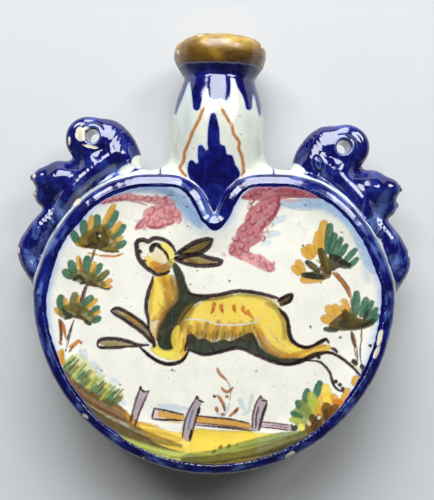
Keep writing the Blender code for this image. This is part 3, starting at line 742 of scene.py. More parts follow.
def paint_clouds(canvas):
    """The washes and curling clouds under the rim, with painted shade of the coil darkening the wash."""
    paint_strokes(canvas, "cloud", (
        ("sky", 110, 0.5, 1230, 655, 1310, 740, 1380, 820, 1440, 890),
        ("sky", 60, 0.6, 1290, 700, 1350, 790, 1430, 880, 1490, 925),
        ("sky", 50, 0.6, 860, 655, 1000, 640, 1120, 645, 1240, 665),
        ("sky", 60, 0.3, 1180, 690, 1260, 770, 1330, 850),
        ("sky", 60, 0.25, 1330, 880, 1400, 930, 1480, 960)), grain=0.5, soft=5)
    # The slate and darker blue strokes below darken the blue wash under the top-left coil and along the
    # notch: painted shade of the coil
    for colour, width, alpha, grain, soft, *flat in (
            ("slate", 7, 0.55, 0.4, 4, 820, 672, 940, 645, 1080, 640, 1240, 668),
            ("dusk", 8, 0.6, 0.5, 5, 1180, 650, 1300, 715, 1400, 830, 1440, 900),
            ("dusk", 6, 0.35, 0.6, 4, 1250, 730, 1330, 820, 1400, 880)):
        canvas.stroke(placed("cloud", flat), width, colour, alpha, "line", grain, soft)
    paint_strokes(canvas, "streak", (
        ("sky", 60, 0.62, 455, 745, 560, 752, 680, 742, 800, 740),
        ("sky", 46, 0.5, 520, 770, 640, 775, 760, 765), ("sky", 50, 0.55, 390, 885, 440, 868, 490, 850),
        ("sky", 44, 0.5, 360, 990, 400, 965, 450, 968), ("sky", 36, 0.4, 320, 1045, 350, 1030, 385, 1035),
        ("sky", 40, 0.35, 110, 650, 80, 760, 30, 880)), grain=0.5, soft=1.8)
    wash = placed("streak", (470, 752, 600, 760, 720, 765, 840, 800, 940, 870, 1010, 960, 1050, 1060,
                             1075, 1180, 1085, 1300))
    canvas.stroke(wash, 10, "sky", 0.4, grain=0.4, soft=5)
    for x, y, long in (
            (640, 735, 60), (710, 745, 60), (780, 765, 70), (840, 795, 70), (900, 830, 80), (950, 880, 80),
            (990, 930, 80), (1020, 985, 80), (1045, 1040, 70), (1065, 1095, 70), (1080, 1150, 60),
            (1105, 1205, 50)):
        dab = placed("streak", (x - long / 2, y - 26, x, y, x + long / 2, y + 30))
        canvas.stroke(dab, 7.5, "sky", 0.6, "leaf", 0.5, 1.4)
    paint_areas(canvas, "streak", (
        ("rose", 0.85, 10, 178, 700, 250, 640, 330, 610, 400, 598, 560, 606, 700, 640, 830, 700, 800, 716,
         700, 712, 600, 706, 480, 712, 440, 735, 330, 730, 200, 722),
        ("rose", 0.85, 115, 440, 690, 455, 760, 430, 830, 385, 895, 330, 945, 320, 1015, 250, 1060, 210,
         1100, 150, 1130, 95, 1120, 85, 1070, 130, 1000, 150, 930, 200, 880, 215, 820, 260, 770, 330, 720),
        ("pink", 0.85, 25, 190, 1085, 260, 1110, 320, 1120, 370, 1160, 410, 1190, 420, 1230, 380, 1246,
         320, 1225, 250, 1190, 190, 1160, 120, 1130)))
    paint_strokes(canvas, "streak", (
        ("maroon", 34, 0.6, 410, 660, 520, 655, 640, 680, 760, 700),
        ("maroon", 26, 0.6, 430, 690, 540, 690, 660, 700),
        ("maroon", 22, 0.6, 180, 706, 250, 690, 320, 650, 400, 640),
        ("maroon", 28, 0.6, 450, 700, 440, 780, 395, 850, 340, 900, 310, 960),
        ("pink", 20, 0.6, 240, 680, 320, 650), ("pink", 24, 0.6, 330, 740, 390, 720, 430, 700),
        ("pink", 22, 0.6, 300, 830, 350, 800, 400, 760), ("pink", 24, 0.6, 230, 930, 290, 900, 330, 860),
        ("lilac", 22, 0.6, 350, 850, 300, 900), ("lilac", 22, 0.6, 260, 990, 230, 1040),
        ("pink", 26, 0.6, 120, 1060, 170, 1040, 210, 1000), ("pink", 20, 0.6, 40, 1110, 60, 1125),
        ("pink", 26, 0.6, 460, 700, 520, 730, 600, 725)), grain=0.4, soft=1.2)
    billow(canvas, "streak", (230, 690, 330, 650, 420, 640, 560, 650, 700, 680), 100, 30, 3)
    billow(canvas, "streak", (440, 720, 390, 820, 330, 900, 270, 980, 180, 1060, 120, 1100), 150, 65, 4)
    billow(canvas, "streak", (120, 1110, 220, 1130, 320, 1170, 400, 1210), 70, 18, 5)
    for x, y, r in (
            (250, 730, 22), (300, 790, 24), (235, 770, 22), (220, 850, 24), (260, 880, 22), (190, 930, 24),
            (240, 960, 22), (135, 1000, 24), (180, 1050, 24), (110, 1080, 24), (160, 1100, 24),
            (210, 1085, 20), (330, 900, 20), (330, 1000, 20), (400, 820, 20), (430, 760, 20),
            (250, 1135, 18), (300, 1150, 20), (340, 1190, 18), (385, 1218, 20), (300, 670, 18),
            (360, 640, 18), (230, 690, 18), (400, 1180, 16)):
        ring(canvas, "streak", x, y, r, "maroon" if y < 1100 else "rose")
    paint_areas(canvas, "cloud", (
        ("rose", 0.62, 8, 700, 740, 760, 712, 840, 690, 920, 676, 1000, 690, 1100, 700, 1200, 700, 1250,
         730, 1230, 770, 1160, 760, 1080, 745, 1000, 730, 920, 722, 840, 738, 760, 752),
        ("pink", 0.9, 0, 1040, 800, 1100, 770, 1170, 760, 1250, 770, 1300, 800, 1310, 850, 1240, 900, 1150,
         935, 1060, 925, 975, 940, 990, 890, 1030, 850)), 1.4)
    billow(canvas, "cloud", (730, 735, 860, 700, 1000, 700, 1200, 730), 60, 25, 6)
    billow(canvas, "cloud", (1010, 910, 1100, 860, 1180, 830, 1270, 820), 120, 35, 8)
    for x, y, r in (
            (745, 728, 20), (800, 716, 22), (850, 706, 22), (905, 700, 22), (960, 706, 22), (1015, 706, 24),
            (1070, 716, 24), (1125, 708, 24), (1180, 722, 26), (1235, 738, 26), (1090, 800, 30),
            (1170, 748, 34), (1245, 785, 30), (1140, 770, 26), (1220, 842, 28), (1060, 855, 28),
            (1130, 860, 26), (1275, 830, 22), (1290, 868, 22), (1150, 905, 26), (1010, 905, 24),
            (1100, 905, 22), (1230, 885, 22)):
        ring(canvas, "cloud", x, y, r, "rose")
    for flat in (
            (1060, 905, 1120, 925, 1190, 905, 1250, 880), (985, 930, 1010, 890, 1050, 858),
            (1180, 720, 1210, 690, 1250, 690), (740, 745, 860, 720, 980, 735, 1060, 760)):
        canvas.stroke(placed("cloud", flat), 2.2, "maroon", 0.55, grain=0.5)


def ring(canvas, view, x, y, radius, colour):
    """A curl of cloud: a pale oval lump with a darker bow along its lower side."""
    turn = 0.1 + 1.5 * LATTICE[int(x) % 64, int(y) % 64]
    c, s, scale = math.cos(turn), math.sin(turn), VIEWS[view][2]
    bow = [value for k in range(-4, 5) for value in (
        x + radius * (0.75 * math.cos(0.5 * k) * c - 1.05 * math.sin(0.5 * k) * s),
        y + radius * (0.75 * math.cos(0.5 * k) * s + 1.05 * math.sin(0.5 * k) * c))]
    a, b = 0.5 * radius * s, 0.5 * radius * c
    lump = placed(view, (x + a, y - b, x - a, y + b))
    canvas.stroke(lump, 1.5 * radius / scale, "pink", 0.6, "leaf", 0.35, 1.4)
    canvas.stroke(placed(view, bow), 1.6, colour, 0.7, "blade", 0.3, 1.1)


def billow(canvas, view, flat, width, count, seed):
    """Small curved strokes scattered along a cloud, over its lumpy edge."""
    random = np.random.default_rng(seed)
    path = smooth_line(placed(view, flat), 12)
    along = np.gradient(path, axis=0)
    along /= np.linalg.norm(along, axis=1)[:, None]
    for _ in range(count):
        k = random.integers(len(path))
        side = np.array([-along[k, 1], along[k, 0]])
        place = path[k] + side * random.uniform(-0.42, 0.42) * width / VIEWS[view][2]
        reach = random.uniform(1.3, 2.6)
        bend = side * random.choice((-1.0, 1.0)) * reach * 0.5
        tilt = along[k] * reach * 0.7 + side * reach * 0.7 * random.choice((-1.0, 1.0))
        colour = random.choice(("maroon", "rose", "pink", "blush", "lilac"), p=(0.3, 0.25, 0.15, 0.2, 0.1))
        canvas.stroke([place - tilt, place + bend, place + tilt], random.uniform(1.6, 3.2), str(colour), 0.4,
                      "blade", 0.4, 1.0)


def paint_trees(canvas):
    """The two trees, each of fan-shaped clumps of leaf strokes."""
    paint_rows(canvas, "left", "leaf", (
        ("leaf", 86, 345, 450, 400, 560), ("leaf", 97, 455, 350, 470, 480),
        ("leaf", 84, 600, 285, 590, 430), ("leaf", 93, 790, 245, 700, 400),
        ("leaf", 81, 870, 385, 770, 500), ("leaf", 72, 880, 550, 800, 600),
        ("amber", 72, 540, 290, 520, 440), ("amber", 67, 770, 170, 660, 370),
        ("amber", 67, 830, 350, 720, 480), ("amber", 51, 850, 495, 760, 560),
        ("amber", 60, 400, 560, 500, 590), ("leaf", 97, 265, 860, 330, 900),
        ("leaf", 93, 325, 765, 360, 860), ("leaf", 93, 495, 720, 480, 850),
        ("leaf", 74, 630, 790, 560, 890), ("moss", 72, 700, 860, 600, 950),
        ("amber", 60, 400, 715, 430, 840), ("amber", 60, 570, 770, 540, 880),
        ("amber", 53, 740, 945, 650, 990), ("amber", 37, 745, 1010, 650, 1010),
        ("leaf", 97, 220, 1130, 220, 1230), ("moss", 90, 365, 1100, 340, 1230),
        ("leaf", 90, 530, 1130, 450, 1230), ("leaf", 72, 600, 1230, 520, 1300),
        ("leaf", 72, 615, 1340, 560, 1370), ("amber", 60, 170, 1250, 220, 1300),
        ("amber", 60, 265, 1150, 290, 1250), ("amber", 37, 410, 1110, 395, 1200),
        ("amber", 53, 585, 1150, 480, 1250), ("amber", 42, 620, 1270, 540, 1320)))
    paint_areas(canvas, "left", (
        ("moss", 0.6, 100, 390, 540, 440, 470, 520, 420, 600, 370, 680, 360, 740, 420, 790, 500, 840, 600,
         780, 640, 650, 620, 500, 600, 420, 590),
        ("olive", 0.85, 100, 440, 480, 520, 430, 590, 400, 650, 380, 700, 400, 740, 480, 730, 560, 830,
         640, 760, 650, 650, 625, 540, 605, 430, 575, 400, 540),
        ("umber", 0.8, 95, 500, 500, 560, 440, 620, 430, 690, 450, 720, 520, 690, 590, 610, 600, 520, 590),
        ("moss", 0.75, 90, 320, 870, 380, 830, 470, 840, 560, 870, 640, 930, 690, 1000, 600, 1010, 500,
         985, 400, 965, 330, 935),
        ("moss", 0.75, 90, 200, 1250, 270, 1200, 340, 1190, 430, 1200, 520, 1260, 580, 1330, 530, 1400,
         440, 1350, 350, 1335, 260, 1345, 200, 1310)), 1.6)
    paint_rows(canvas, "left", "line", (
        ("umber", 26, 430, 580, 520, 598, 600, 612), ("umber", 24, 600, 612, 700, 640, 820, 645),
        ("deep", 44, 545, 560, 640, 585, 700, 560), ("deep", 30, 480, 600, 540, 560),
        ("deep", 30, 600, 440, 610, 520, 660, 560), ("umber", 30, 660, 400, 690, 470),
        ("orange", 24, 620, 685, 720, 692, 800, 690, 860, 665), ("amber", 21, 500, 660, 600, 676),
        ("rust", 24, 415, 710, 440, 870), ("deep", 50, 350, 940, 410, 905, 460, 950),
        ("umber", 44, 470, 970, 540, 985, 610, 1005), ("deep", 34, 420, 980, 480, 960),
        ("umber", 22, 600, 1010, 700, 1035, 740, 1025), ("deep", 50, 240, 1250, 280, 1300, 330, 1310),
        ("umber", 44, 350, 1320, 430, 1330, 490, 1370), ("deep", 44, 470, 1370, 530, 1405),
        ("deep", 30, 255, 1345, 330, 1330), ("umber", 26, 400, 1180, 420, 1300),
        ("soft_ink", 24, 575, 615, 555, 680, 540, 745), ("soft_ink", 36, 490, 995, 460, 1080, 430, 1190),
        ("ink", 12, 470, 1000, 445, 1080, 415, 1180), ("brown", 30, 200, 1350, 215, 1450, 225, 1570),
        ("rust", 26, 228, 1370, 250, 1450, 268, 1550), ("ink", 12, 350, 1370, 310, 1470, 278, 1580)))
    paint_rows(canvas, "ground", "line", (
        ("brown", 20, 240, 0, 243, 90, 238, 180), ("orange", 26, 256, 20, 268, 70, 276, 120),
        ("rust", 24, 232, 170, 244, 190), ("soft_ink", 11, 345, 0, 315, 110, 288, 215),
        ("orange", 30, 385, 158, 350, 190, 312, 214), ("rust", 22, 392, 168, 402, 182),
        ("amber", 60, 250, 240, 236, 290, 232, 345), ("ochre", 30, 250, 250, 262, 320, 274, 372),
        ("soft_ink", 10, 285, 220, 278, 250), ("brown", 12, 345, 205, 305, 250)))
    paint_rows(canvas, "right", "leaf", (
        ("amber", 86, 345, 190, 330, 360), ("amber", 74, 300, 270, 290, 400),
        ("amber", 84, 195, 395, 240, 440), ("amber", 72, 230, 370, 262, 425),
        ("amber", 72, 145, 495, 180, 565), ("amber", 60, 112, 530, 150, 575),
        ("amber", 72, 185, 625, 330, 610), ("leaf", 64, 392, 205, 370, 400),
        ("leaf", 62, 428, 278, 390, 410), ("leaf", 52, 478, 308, 410, 440),
        ("leaf", 52, 518, 358, 450, 460), ("leaf", 50, 588, 392, 500, 490),
        ("leaf", 46, 603, 462, 540, 525), ("amber", 74, 380, 850, 420, 900),
        ("amber", 74, 345, 930, 420, 950), ("amber", 72, 430, 840, 460, 900),
        ("amber", 72, 500, 800, 520, 890), ("leaf", 64, 600, 735, 590, 890),
        ("leaf", 64, 672, 785, 640, 900), ("leaf", 52, 718, 805, 670, 920),
        ("leaf", 52, 752, 858, 700, 940), ("leaf", 52, 758, 908, 720, 960)))
    paint_areas(canvas, "right", (
        ("olive", 0.85, 70, 300, 400, 350, 395, 380, 470, 400, 560, 350, 570, 320, 500),
        ("deep", 0.85, 20, 380, 450, 430, 425, 480, 450, 520, 480, 560, 500, 520, 540, 460, 530, 400, 560),
        ("umber", 0.85, 20, 190, 575, 260, 560, 340, 570, 400, 560, 390, 610, 320, 625, 230, 615),
        ("umber", 0.9, 10, 380, 985, 430, 930, 500, 880, 560, 890, 620, 930, 700, 940, 740, 970, 690, 1000,
         600, 1020, 500, 1025, 400, 1020),
        ("deep", 0.6, 10, 450, 960, 540, 930, 640, 960, 700, 975, 620, 1005, 500, 1010)), 1.0)
    paint_rows(canvas, "right", "leaf", (
        ("umber", 58, 318, 395, 340, 500), ("deep", 52, 215, 490, 300, 555),
        ("deep", 48, 185, 588, 330, 606), ("deep", 46, 400, 440, 480, 490),
        ("deep", 40, 440, 470, 545, 512), ("umber", 56, 330, 530, 385, 565),
        ("olive", 26, 235, 500, 290, 540), ("olive", 22, 350, 420, 365, 500),
        ("umber", 62, 510, 880, 520, 940), ("deep", 26, 690, 870, 655, 940),
        ("deep", 30, 740, 940, 640, 990), ("pine", 44, 355, 1012, 440, 1022),
        ("moss", 39, 560, 860, 570, 930)))
    paint_rows(canvas, "right", "line", (
        ("rust", 34, 420, 570, 480, 630, 530, 700, 552, 760), ("orange", 14, 440, 585, 500, 650, 545, 720),
        ("umber", 8, 408, 575, 468, 636, 520, 710, 540, 760), ("umber", 7, 436, 560, 495, 622, 546, 695),
        ("olive", 14, 556, 760, 562, 850), ("brown", 34, 562, 1035, 576, 1095, 590, 1150),
        ("brown", 14, 640, 1010, 636, 1080), ("soft_ink", 12, 600, 1150, 605, 1210, 610, 1265),
        ("soft_ink", 10, 640, 1080, 628, 1180, 636, 1290), ("amber", 65, 598, 1395, 586, 1440),
        ("soft_ink", 8, 556, 1030, 580, 1150, 598, 1260)))
    for view, left, top, reach, low, high in (
            ("left", 630, 590, 150, 10, 170), ("left", 530, 960, 140, 10, 170),
            ("left", 400, 1290, 150, 15, 170), ("right", 395, 545, 130, 20, 160),
            ("right", 580, 980, 120, 15, 165)):
        for k in range(11):
            turn = math.radians(low + (high - low) * k / 10)
            long = reach * (0.75 + 0.25 * math.sin(3.7 * k))
            spray = placed(view, (left, top, left + long * math.cos(turn), top - long * math.sin(turn)))
            canvas.stroke(spray, 2.6, ("umber", "moss", "olive")[k % 3], 0.5, "leaf", 0.5, 1.6)
    canvas.stroke(placed("right", (466, 806, 476, 814)), 3.4, "white", 0.9, "even", 0)
    canvas.stroke(placed("left", (622, 478, 628, 484)), 2.2, "white", 0.9, "even", 0)


def paint_deer(canvas):
    """The leaping deer of the folk pattern."""
    paint_areas(canvas, "deer", (
        ("cream", 0.5, 0, 260, 160, 330, 140, 420, 160, 470, 220, 450, 300, 400, 345, 330, 320, 280, 270,
         255, 220),
        ("yellow", 0.95, 70, 350, 380, 330, 440, 318, 520, 320, 600, 335, 660, 380, 650, 440, 600, 480,
         540, 505, 480, 480, 400, 440, 345, 390, 362),
        ("yellow", 0.97, 10, 420, 865, 400, 800, 430, 740, 500, 690, 550, 610, 620, 560, 700, 525, 800,
         505, 880, 488, 950, 486, 1040, 502, 1120, 530, 1180, 580, 1215, 640, 1228, 720, 1242, 785, 1290,
         826, 1370, 850, 1440, 830, 1500, 815, 1500, 850, 1440, 880, 1350, 896, 1250, 890, 1180, 865, 1120,
         820, 1080, 760, 1000, 745, 900, 755, 800, 770, 700, 770, 600, 745, 560, 760, 565, 840, 550, 900,
         470, 918, 400, 893, 330, 850, 360, 800)), 1.0)
    paint_strokes(canvas, "deer", (
        ("ochre", 70, 0.75, 430, 370, 455, 440, 470, 520),
        ("olive", 50, 0.75, 470, 370, 495, 440, 505, 520), ("ochre", 60, 0.6, 400, 375, 425, 420),
        ("rust", 30, 0.5, 420, 480, 445, 560, 430, 600), ("olive", 34, 0.6, 480, 530, 440, 590, 390, 650),
        ("ochre", 40, 0.6, 450, 560, 400, 620, 350, 650), ("ochre", 26, 0.6, 640, 520, 720, 512, 860, 486),
        ("ochre", 20, 0.5, 960, 482, 1080, 500, 1160, 540),
        ("ochre", 40, 0.5, 360, 640, 340, 690, 345, 760, 350, 800),
        ("olive", 60, 0.5, 600, 575, 560, 640, 530, 720),
        ("amber", 60, 0.6, 1020, 700, 1060, 790, 1120, 850, 1220, 885),
        ("ochre", 44, 0.7, 1035, 720, 1070, 800, 1130, 862, 1220, 895, 1330, 898),
        ("rust", 14, 0.4, 1040, 690, 1085, 780, 1150, 845, 1230, 872),
        ("olive", 40, 0.5, 1090, 545, 1150, 575, 1195, 640, 1208, 720, 1200, 775),
        ("sage", 30, 0.35, 640, 530, 760, 505, 900, 484, 1020, 492),
        ("ochre", 34, 0.5, 1290, 890, 1380, 880, 1450, 850, 1500, 835),
        ("ochre", 34, 0.55, 545, 800, 560, 850, 545, 890), ("rust", 10, 0.4, 400, 440, 440, 520),
        ("rust", 12, 0.4, 380, 540, 420, 590), ("rust", 12, 0.4, 440, 560, 470, 520)), grain=0.5, soft=2.0)
    fringe = ("ochre", "brown", "ochre", "olive", "amber", "brown", "ochre")
    for k in range(19):
        x, lift = 562 + 25 * k + 6 * math.sin(4.3 * k), 16 * math.sin(2.1 * k)
        tuft = placed("deer", (x + 10, 684 + lift, x + 2, 730, x - 8 + lift / 2, 790))
        canvas.stroke(tuft, 5.6, fringe[k % 7], 0.6, "leaf", 0.5, 2.0)
    paint_areas(canvas, "deer", (
        ("deep", 0.97, 80, 565, 762, 600, 745, 640, 775, 690, 775, 740, 800, 800, 780, 860, 790, 930, 755,
         990, 735, 1016, 765, 1050, 830, 1110, 876, 1200, 905, 1300, 902, 1360, 902, 1290, 932, 1200, 938,
         1130, 918, 1060, 888, 980, 850, 920, 830, 850, 845, 760, 868, 680, 878, 610, 862, 572, 840),
        ("olive", 0.6, 80, 470, 560, 520, 520, 560, 560, 500, 640, 470, 720, 470, 800, 480, 850, 440, 850,
         420, 760, 430, 660)), 0.9)
    shadow = placed("deer", (
        470, 270, 505, 290, 545, 350, 565, 420, 600, 478, 680, 500, 720, 516, 640, 535, 590, 580, 540, 650,
        505, 720, 500, 790, 490, 830, 440, 850, 395, 838, 372, 790, 372, 720, 400, 650, 450, 590, 505, 530,
        515, 480, 500, 400, 478, 330))
    canvas.area(shadow, "deep", 0.97, 0.12, 1.0, math.radians(120))
    for k in range(17):
        x, lift = 585 + 25 * k, 12 * math.sin(1.7 * k)
        canvas.stroke(placed("deer", (x + 6, 735 + lift, x, 790 + lift)), 3.0,
                      ("brown", "umber", "olive")[k % 3], 0.6, "leaf", 0.5, 1.4)
    for width, colour, alpha, flat in (
            (5.0, "brown", 0.6, (500, 380, 512, 440, 508, 500, 470, 560, 420, 620, 386, 690, 376, 770)),
            (3.4, "umber", 0.6, (505, 390, 518, 450, 512, 510, 462, 580, 412, 640, 392, 720)),
            (4.4, "umber", 0.5, (560, 440, 600, 494, 680, 512, 760, 512, 860, 494)),
            (4.6, "brown", 0.55, (640, 545, 590, 590, 545, 660, 515, 740, 505, 820)),
            (3.6, "olive", 0.5, (900, 488, 1000, 496, 1090, 520, 1150, 560)),
            (5.4, "brown", 0.45, (1010, 700, 1050, 780, 1100, 850, 1180, 890, 1290, 896)),
            (3.4, "umber", 0.5, (1030, 760, 1080, 850, 1160, 896, 1280, 906)),
            (4.0, "olive", 0.45, (1130, 560, 1180, 610, 1204, 690, 1216, 760, 1250, 810)),
            (5.0, "brown", 0.35, (410, 380, 440, 460, 430, 540, 390, 610)),
            (3.4, "olive", 0.45, (352, 400, 340, 470, 330, 540, 330, 610)),
            (3.0, "brown", 0.4, (455, 400, 470, 470, 450, 540))):
        canvas.stroke(placed("deer", flat), width, colour, alpha, grain=0.55, soft=2.6)
    for colour, width, alpha, soft, *flat in (
            ("ochre", 3.6, 0.6, 1.5, 360, 820, 358, 760, 385, 680, 430, 610),
            ("olive", 5.0, 0.55, 2.0, 600, 545, 550, 600, 515, 680, 505, 760),
            ("olive", 2.6, 0.7, 1.2, 640, 522, 560, 590, 520, 660, 505, 730)):
        canvas.stroke(placed("deer", flat), width, colour, alpha, grain=0.4, soft=soft)
    paint_rows(canvas, "deer", "line", (
        ("white", 13, 556, 655, 600, 648, 680, 655, 760, 680, 850, 686, 950, 680, 1035, 662),
        ("white", 7, 1000, 655, 1040, 640), ("cream", 9, 1100, 700, 1150, 780, 1210, 830),
        ("lemon", 50, 345, 838, 400, 872, 460, 878, 500, 850), ("yellow", 54, 500, 850, 490, 770, 510, 700),
        ("white", 22, 300, 800, 330, 810, 350, 830), ("ochre", 12, 520, 870, 545, 830, 545, 770)))
    paint_rows(canvas, "deer", "comma", (
        ("orange", 27, 745, 550, 738, 580, 726, 612), ("orange", 27, 792, 560, 790, 580, 802, 606),
        ("orange", 27, 875, 566, 876, 584, 886, 604), ("orange", 27, 935, 574, 938, 596, 956, 618),
        ("orange", 27, 968, 598, 980, 622, 1006, 648), ("rust", 12, 800, 580, 804, 606),
        ("rust", 12, 745, 580, 735, 608), ("rust", 12, 880, 584, 886, 604)))
    paint_areas(canvas, "deer", (
        ("lemon", 0.85, 60, 400, 150, 440, 150, 476, 190, 488, 245, 480, 290, 455, 310, 440, 250, 425, 200,
         395, 170),
        ("yellow", 0.8, 60, 300, 235, 340, 250, 400, 290, 430, 330, 400, 345, 350, 335, 300, 295),
        ("ochre", 0.75, 50, 330, 270, 380, 280, 430, 290, 460, 310, 440, 340, 400, 352, 350, 330, 325, 300),
        ("orange", 0.5, 50, 345, 270, 380, 275, 400, 300, 370, 310, 345, 295),
        ("brown", 0.45, 60, 350, 315, 400, 300, 440, 270, 470, 250, 474, 300, 440, 340, 390, 345),
        ("cream", 0.4, 0, 335, 224, 370, 214, 400, 230, 412, 262, 400, 280, 365, 262),
        ("white", 0.8, 0, 262, 170, 310, 155, 330, 170, 325, 205, 300, 240, 265, 235),
        ("umber", 0.85, 150, 505, 212, 560, 182, 620, 150, 690, 130, 728, 132, 705, 175, 650, 208, 590,
         224, 530, 228), ("olive", 0.7, 150, 520, 215, 600, 180, 680, 150, 690, 165, 620, 200, 560, 222),
        ("olive", 0.8, 170, 560, 245, 640, 240, 700, 260, 760, 275, 720, 290, 650, 290, 580, 278),
        ("brown", 0.6, 10, 495, 250, 560, 250, 620, 262, 640, 285, 580, 285, 520, 272)), 0.8)
    paint_rows(canvas, "deer", "line", (
        ("ink", 31, 492, 205, 470, 168, 432, 136, 386, 121, 345, 122, 318, 140, 285, 130, 250, 136, 238,
         162, 243, 205, 255, 252, 290, 298, 330, 330, 372, 356, 420, 352, 452, 334),
        ("ink", 30, 492, 222, 520, 210, 560, 182, 620, 146, 690, 126, 732, 124),
        ("ink", 30, 736, 128, 712, 175, 655, 214, 600, 226, 545, 230, 500, 244),
        ("ink", 30, 486, 252, 520, 262, 570, 238, 640, 226, 705, 246, 775, 262, 792, 272, 770, 290, 730,
         296, 670, 300, 600, 294, 540, 280, 495, 265), ("black", 36, 334, 204, 340, 180, 356, 160),
        ("black", 22, 345, 160, 376, 160, 400, 178), ("ink", 19, 372, 172, 408, 192, 438, 228, 446, 262),
        ("ink", 17, 262, 196, 270, 214), ("ink", 15, 285, 262, 300, 272),
        ("black", 20, 492, 240, 508, 248, 524, 262),
        ("ink", 26, 345, 372, 338, 410, 326, 440, 312, 490, 302, 540, 302, 590, 314, 640, 320, 700),
        ("ink", 25, 575, 478, 640, 492, 700, 496, 780, 488, 860, 470, 920, 464, 1000, 472, 1080, 488, 1150,
         508, 1185, 522),
        ("ink", 24, 1166, 578, 1206, 612, 1228, 662, 1234, 738, 1256, 790, 1308, 824, 1370, 832, 1430, 806,
         1476, 782, 1492, 802),
        ("ink", 24, 572, 848, 640, 872, 690, 880, 780, 864, 850, 844, 920, 838, 1000, 872, 1080, 908, 1150,
         932, 1220, 944, 1290, 934, 1350, 912, 1430, 882, 1480, 868),
        ("ink", 25, 264, 832, 296, 862, 330, 892, 390, 928, 450, 942, 510, 932, 552, 902, 576, 858),
        ("ink", 24, 330, 745, 350, 790, 350, 832), ("ink", 17, 556, 855, 566, 800)))
    paint_areas(canvas, "deer", (
        ("umber", 0.7, 35, 82, 585, 120, 580, 180, 612, 250, 652, 305, 700, 330, 745, 345, 800, 300, 750,
         250, 715, 180, 668, 120, 622),
        ("umber", 0.95, 160, 1168, 512, 1205, 500, 1240, 482, 1262, 480, 1262, 505, 1245, 530, 1210, 556,
         1175, 562)), 0.8)
    paint_rows(canvas, "deer", "line", (
        ("ochre", 16, 150, 606, 210, 644, 262, 690), ("cream", 9, 120, 596, 170, 620),
        ("ink", 24, 74, 592, 100, 576, 134, 580, 190, 612, 255, 654, 308, 700, 334, 748),
        ("ink", 24, 74, 598, 100, 618, 150, 645, 205, 684, 272, 732, 330, 790, 362, 818),
        ("black", 24, 1200, 548, 1240, 530, 1258, 492), ("ink", 22, 1160, 530, 1205, 502, 1255, 480)))
    paint_areas(canvas, "ground", (
        ("olive", 0.7, 10, 540, 180, 600, 160, 700, 170, 780, 190, 800, 205, 700, 205, 600, 205),
        ("sage", 0.4, 10, 590, 185, 680, 180, 700, 195, 610, 198)), 0.8)
    paint_rows(canvas, "ground", "line", (
        ("ink", 31, 528, 192, 545, 160, 600, 146, 700, 152, 780, 172, 850, 195, 925, 196),
        ("ink", 26, 528, 198, 550, 214, 620, 216, 700, 214, 775, 208), ("ink", 22, 770, 208, 860, 204),
        ("ink", 25, 862, 216, 900, 250, 950, 290, 1010, 324, 1080, 342, 1150, 332, 1200, 308, 1232,
         270)))
    paint_rows(canvas, "right", "line", (
        ("ochre", 26, 0, 1230, 90, 1215, 190, 1185, 290, 1150, 360, 1140),
        ("lemon", 14, 60, 1190, 180, 1180), ("ochre", 12, 380, 1190, 450, 1222),
        ("cream", 10, 560, 1270, 600, 1310, 640, 1350),
        ("ink", 26, 0, 872, 40, 922, 68, 980, 82, 1060, 120, 1122, 190, 1156, 260, 1142, 320, 1106, 362,
         1090, 382, 1118), ("ink", 24, 400, 1160, 428, 1172, 452, 1194),
        ("ink", 25, 0, 1284, 90, 1284, 190, 1244, 280, 1204, 380, 1196, 450, 1220, 520, 1268, 580, 1320,
         620, 1368, 642, 1382),
        ("ink", 22, 200, 1256, 300, 1266, 350, 1300, 390, 1352, 405, 1402, 422, 1452, 460, 1490, 500, 1506),
        ("ink", 39, 568, 1258, 602, 1286), ("ink", 39, 640, 1298, 652, 1318),
        ("ink", 36, 652, 1344, 662, 1360), ("ink", 25, 684, 1324, 692, 1334),
        ("ink", 32, 435, 1420, 441, 1426), ("ink", 32, 466, 1446, 472, 1452),
        ("ink", 32, 490, 1476, 497, 1482), ("ink", 32, 298, 1228, 306, 1234),
        ("ink", 18, 470, 1076, 476, 1080), ("ink", 25, 704, 1140, 712, 1144)))


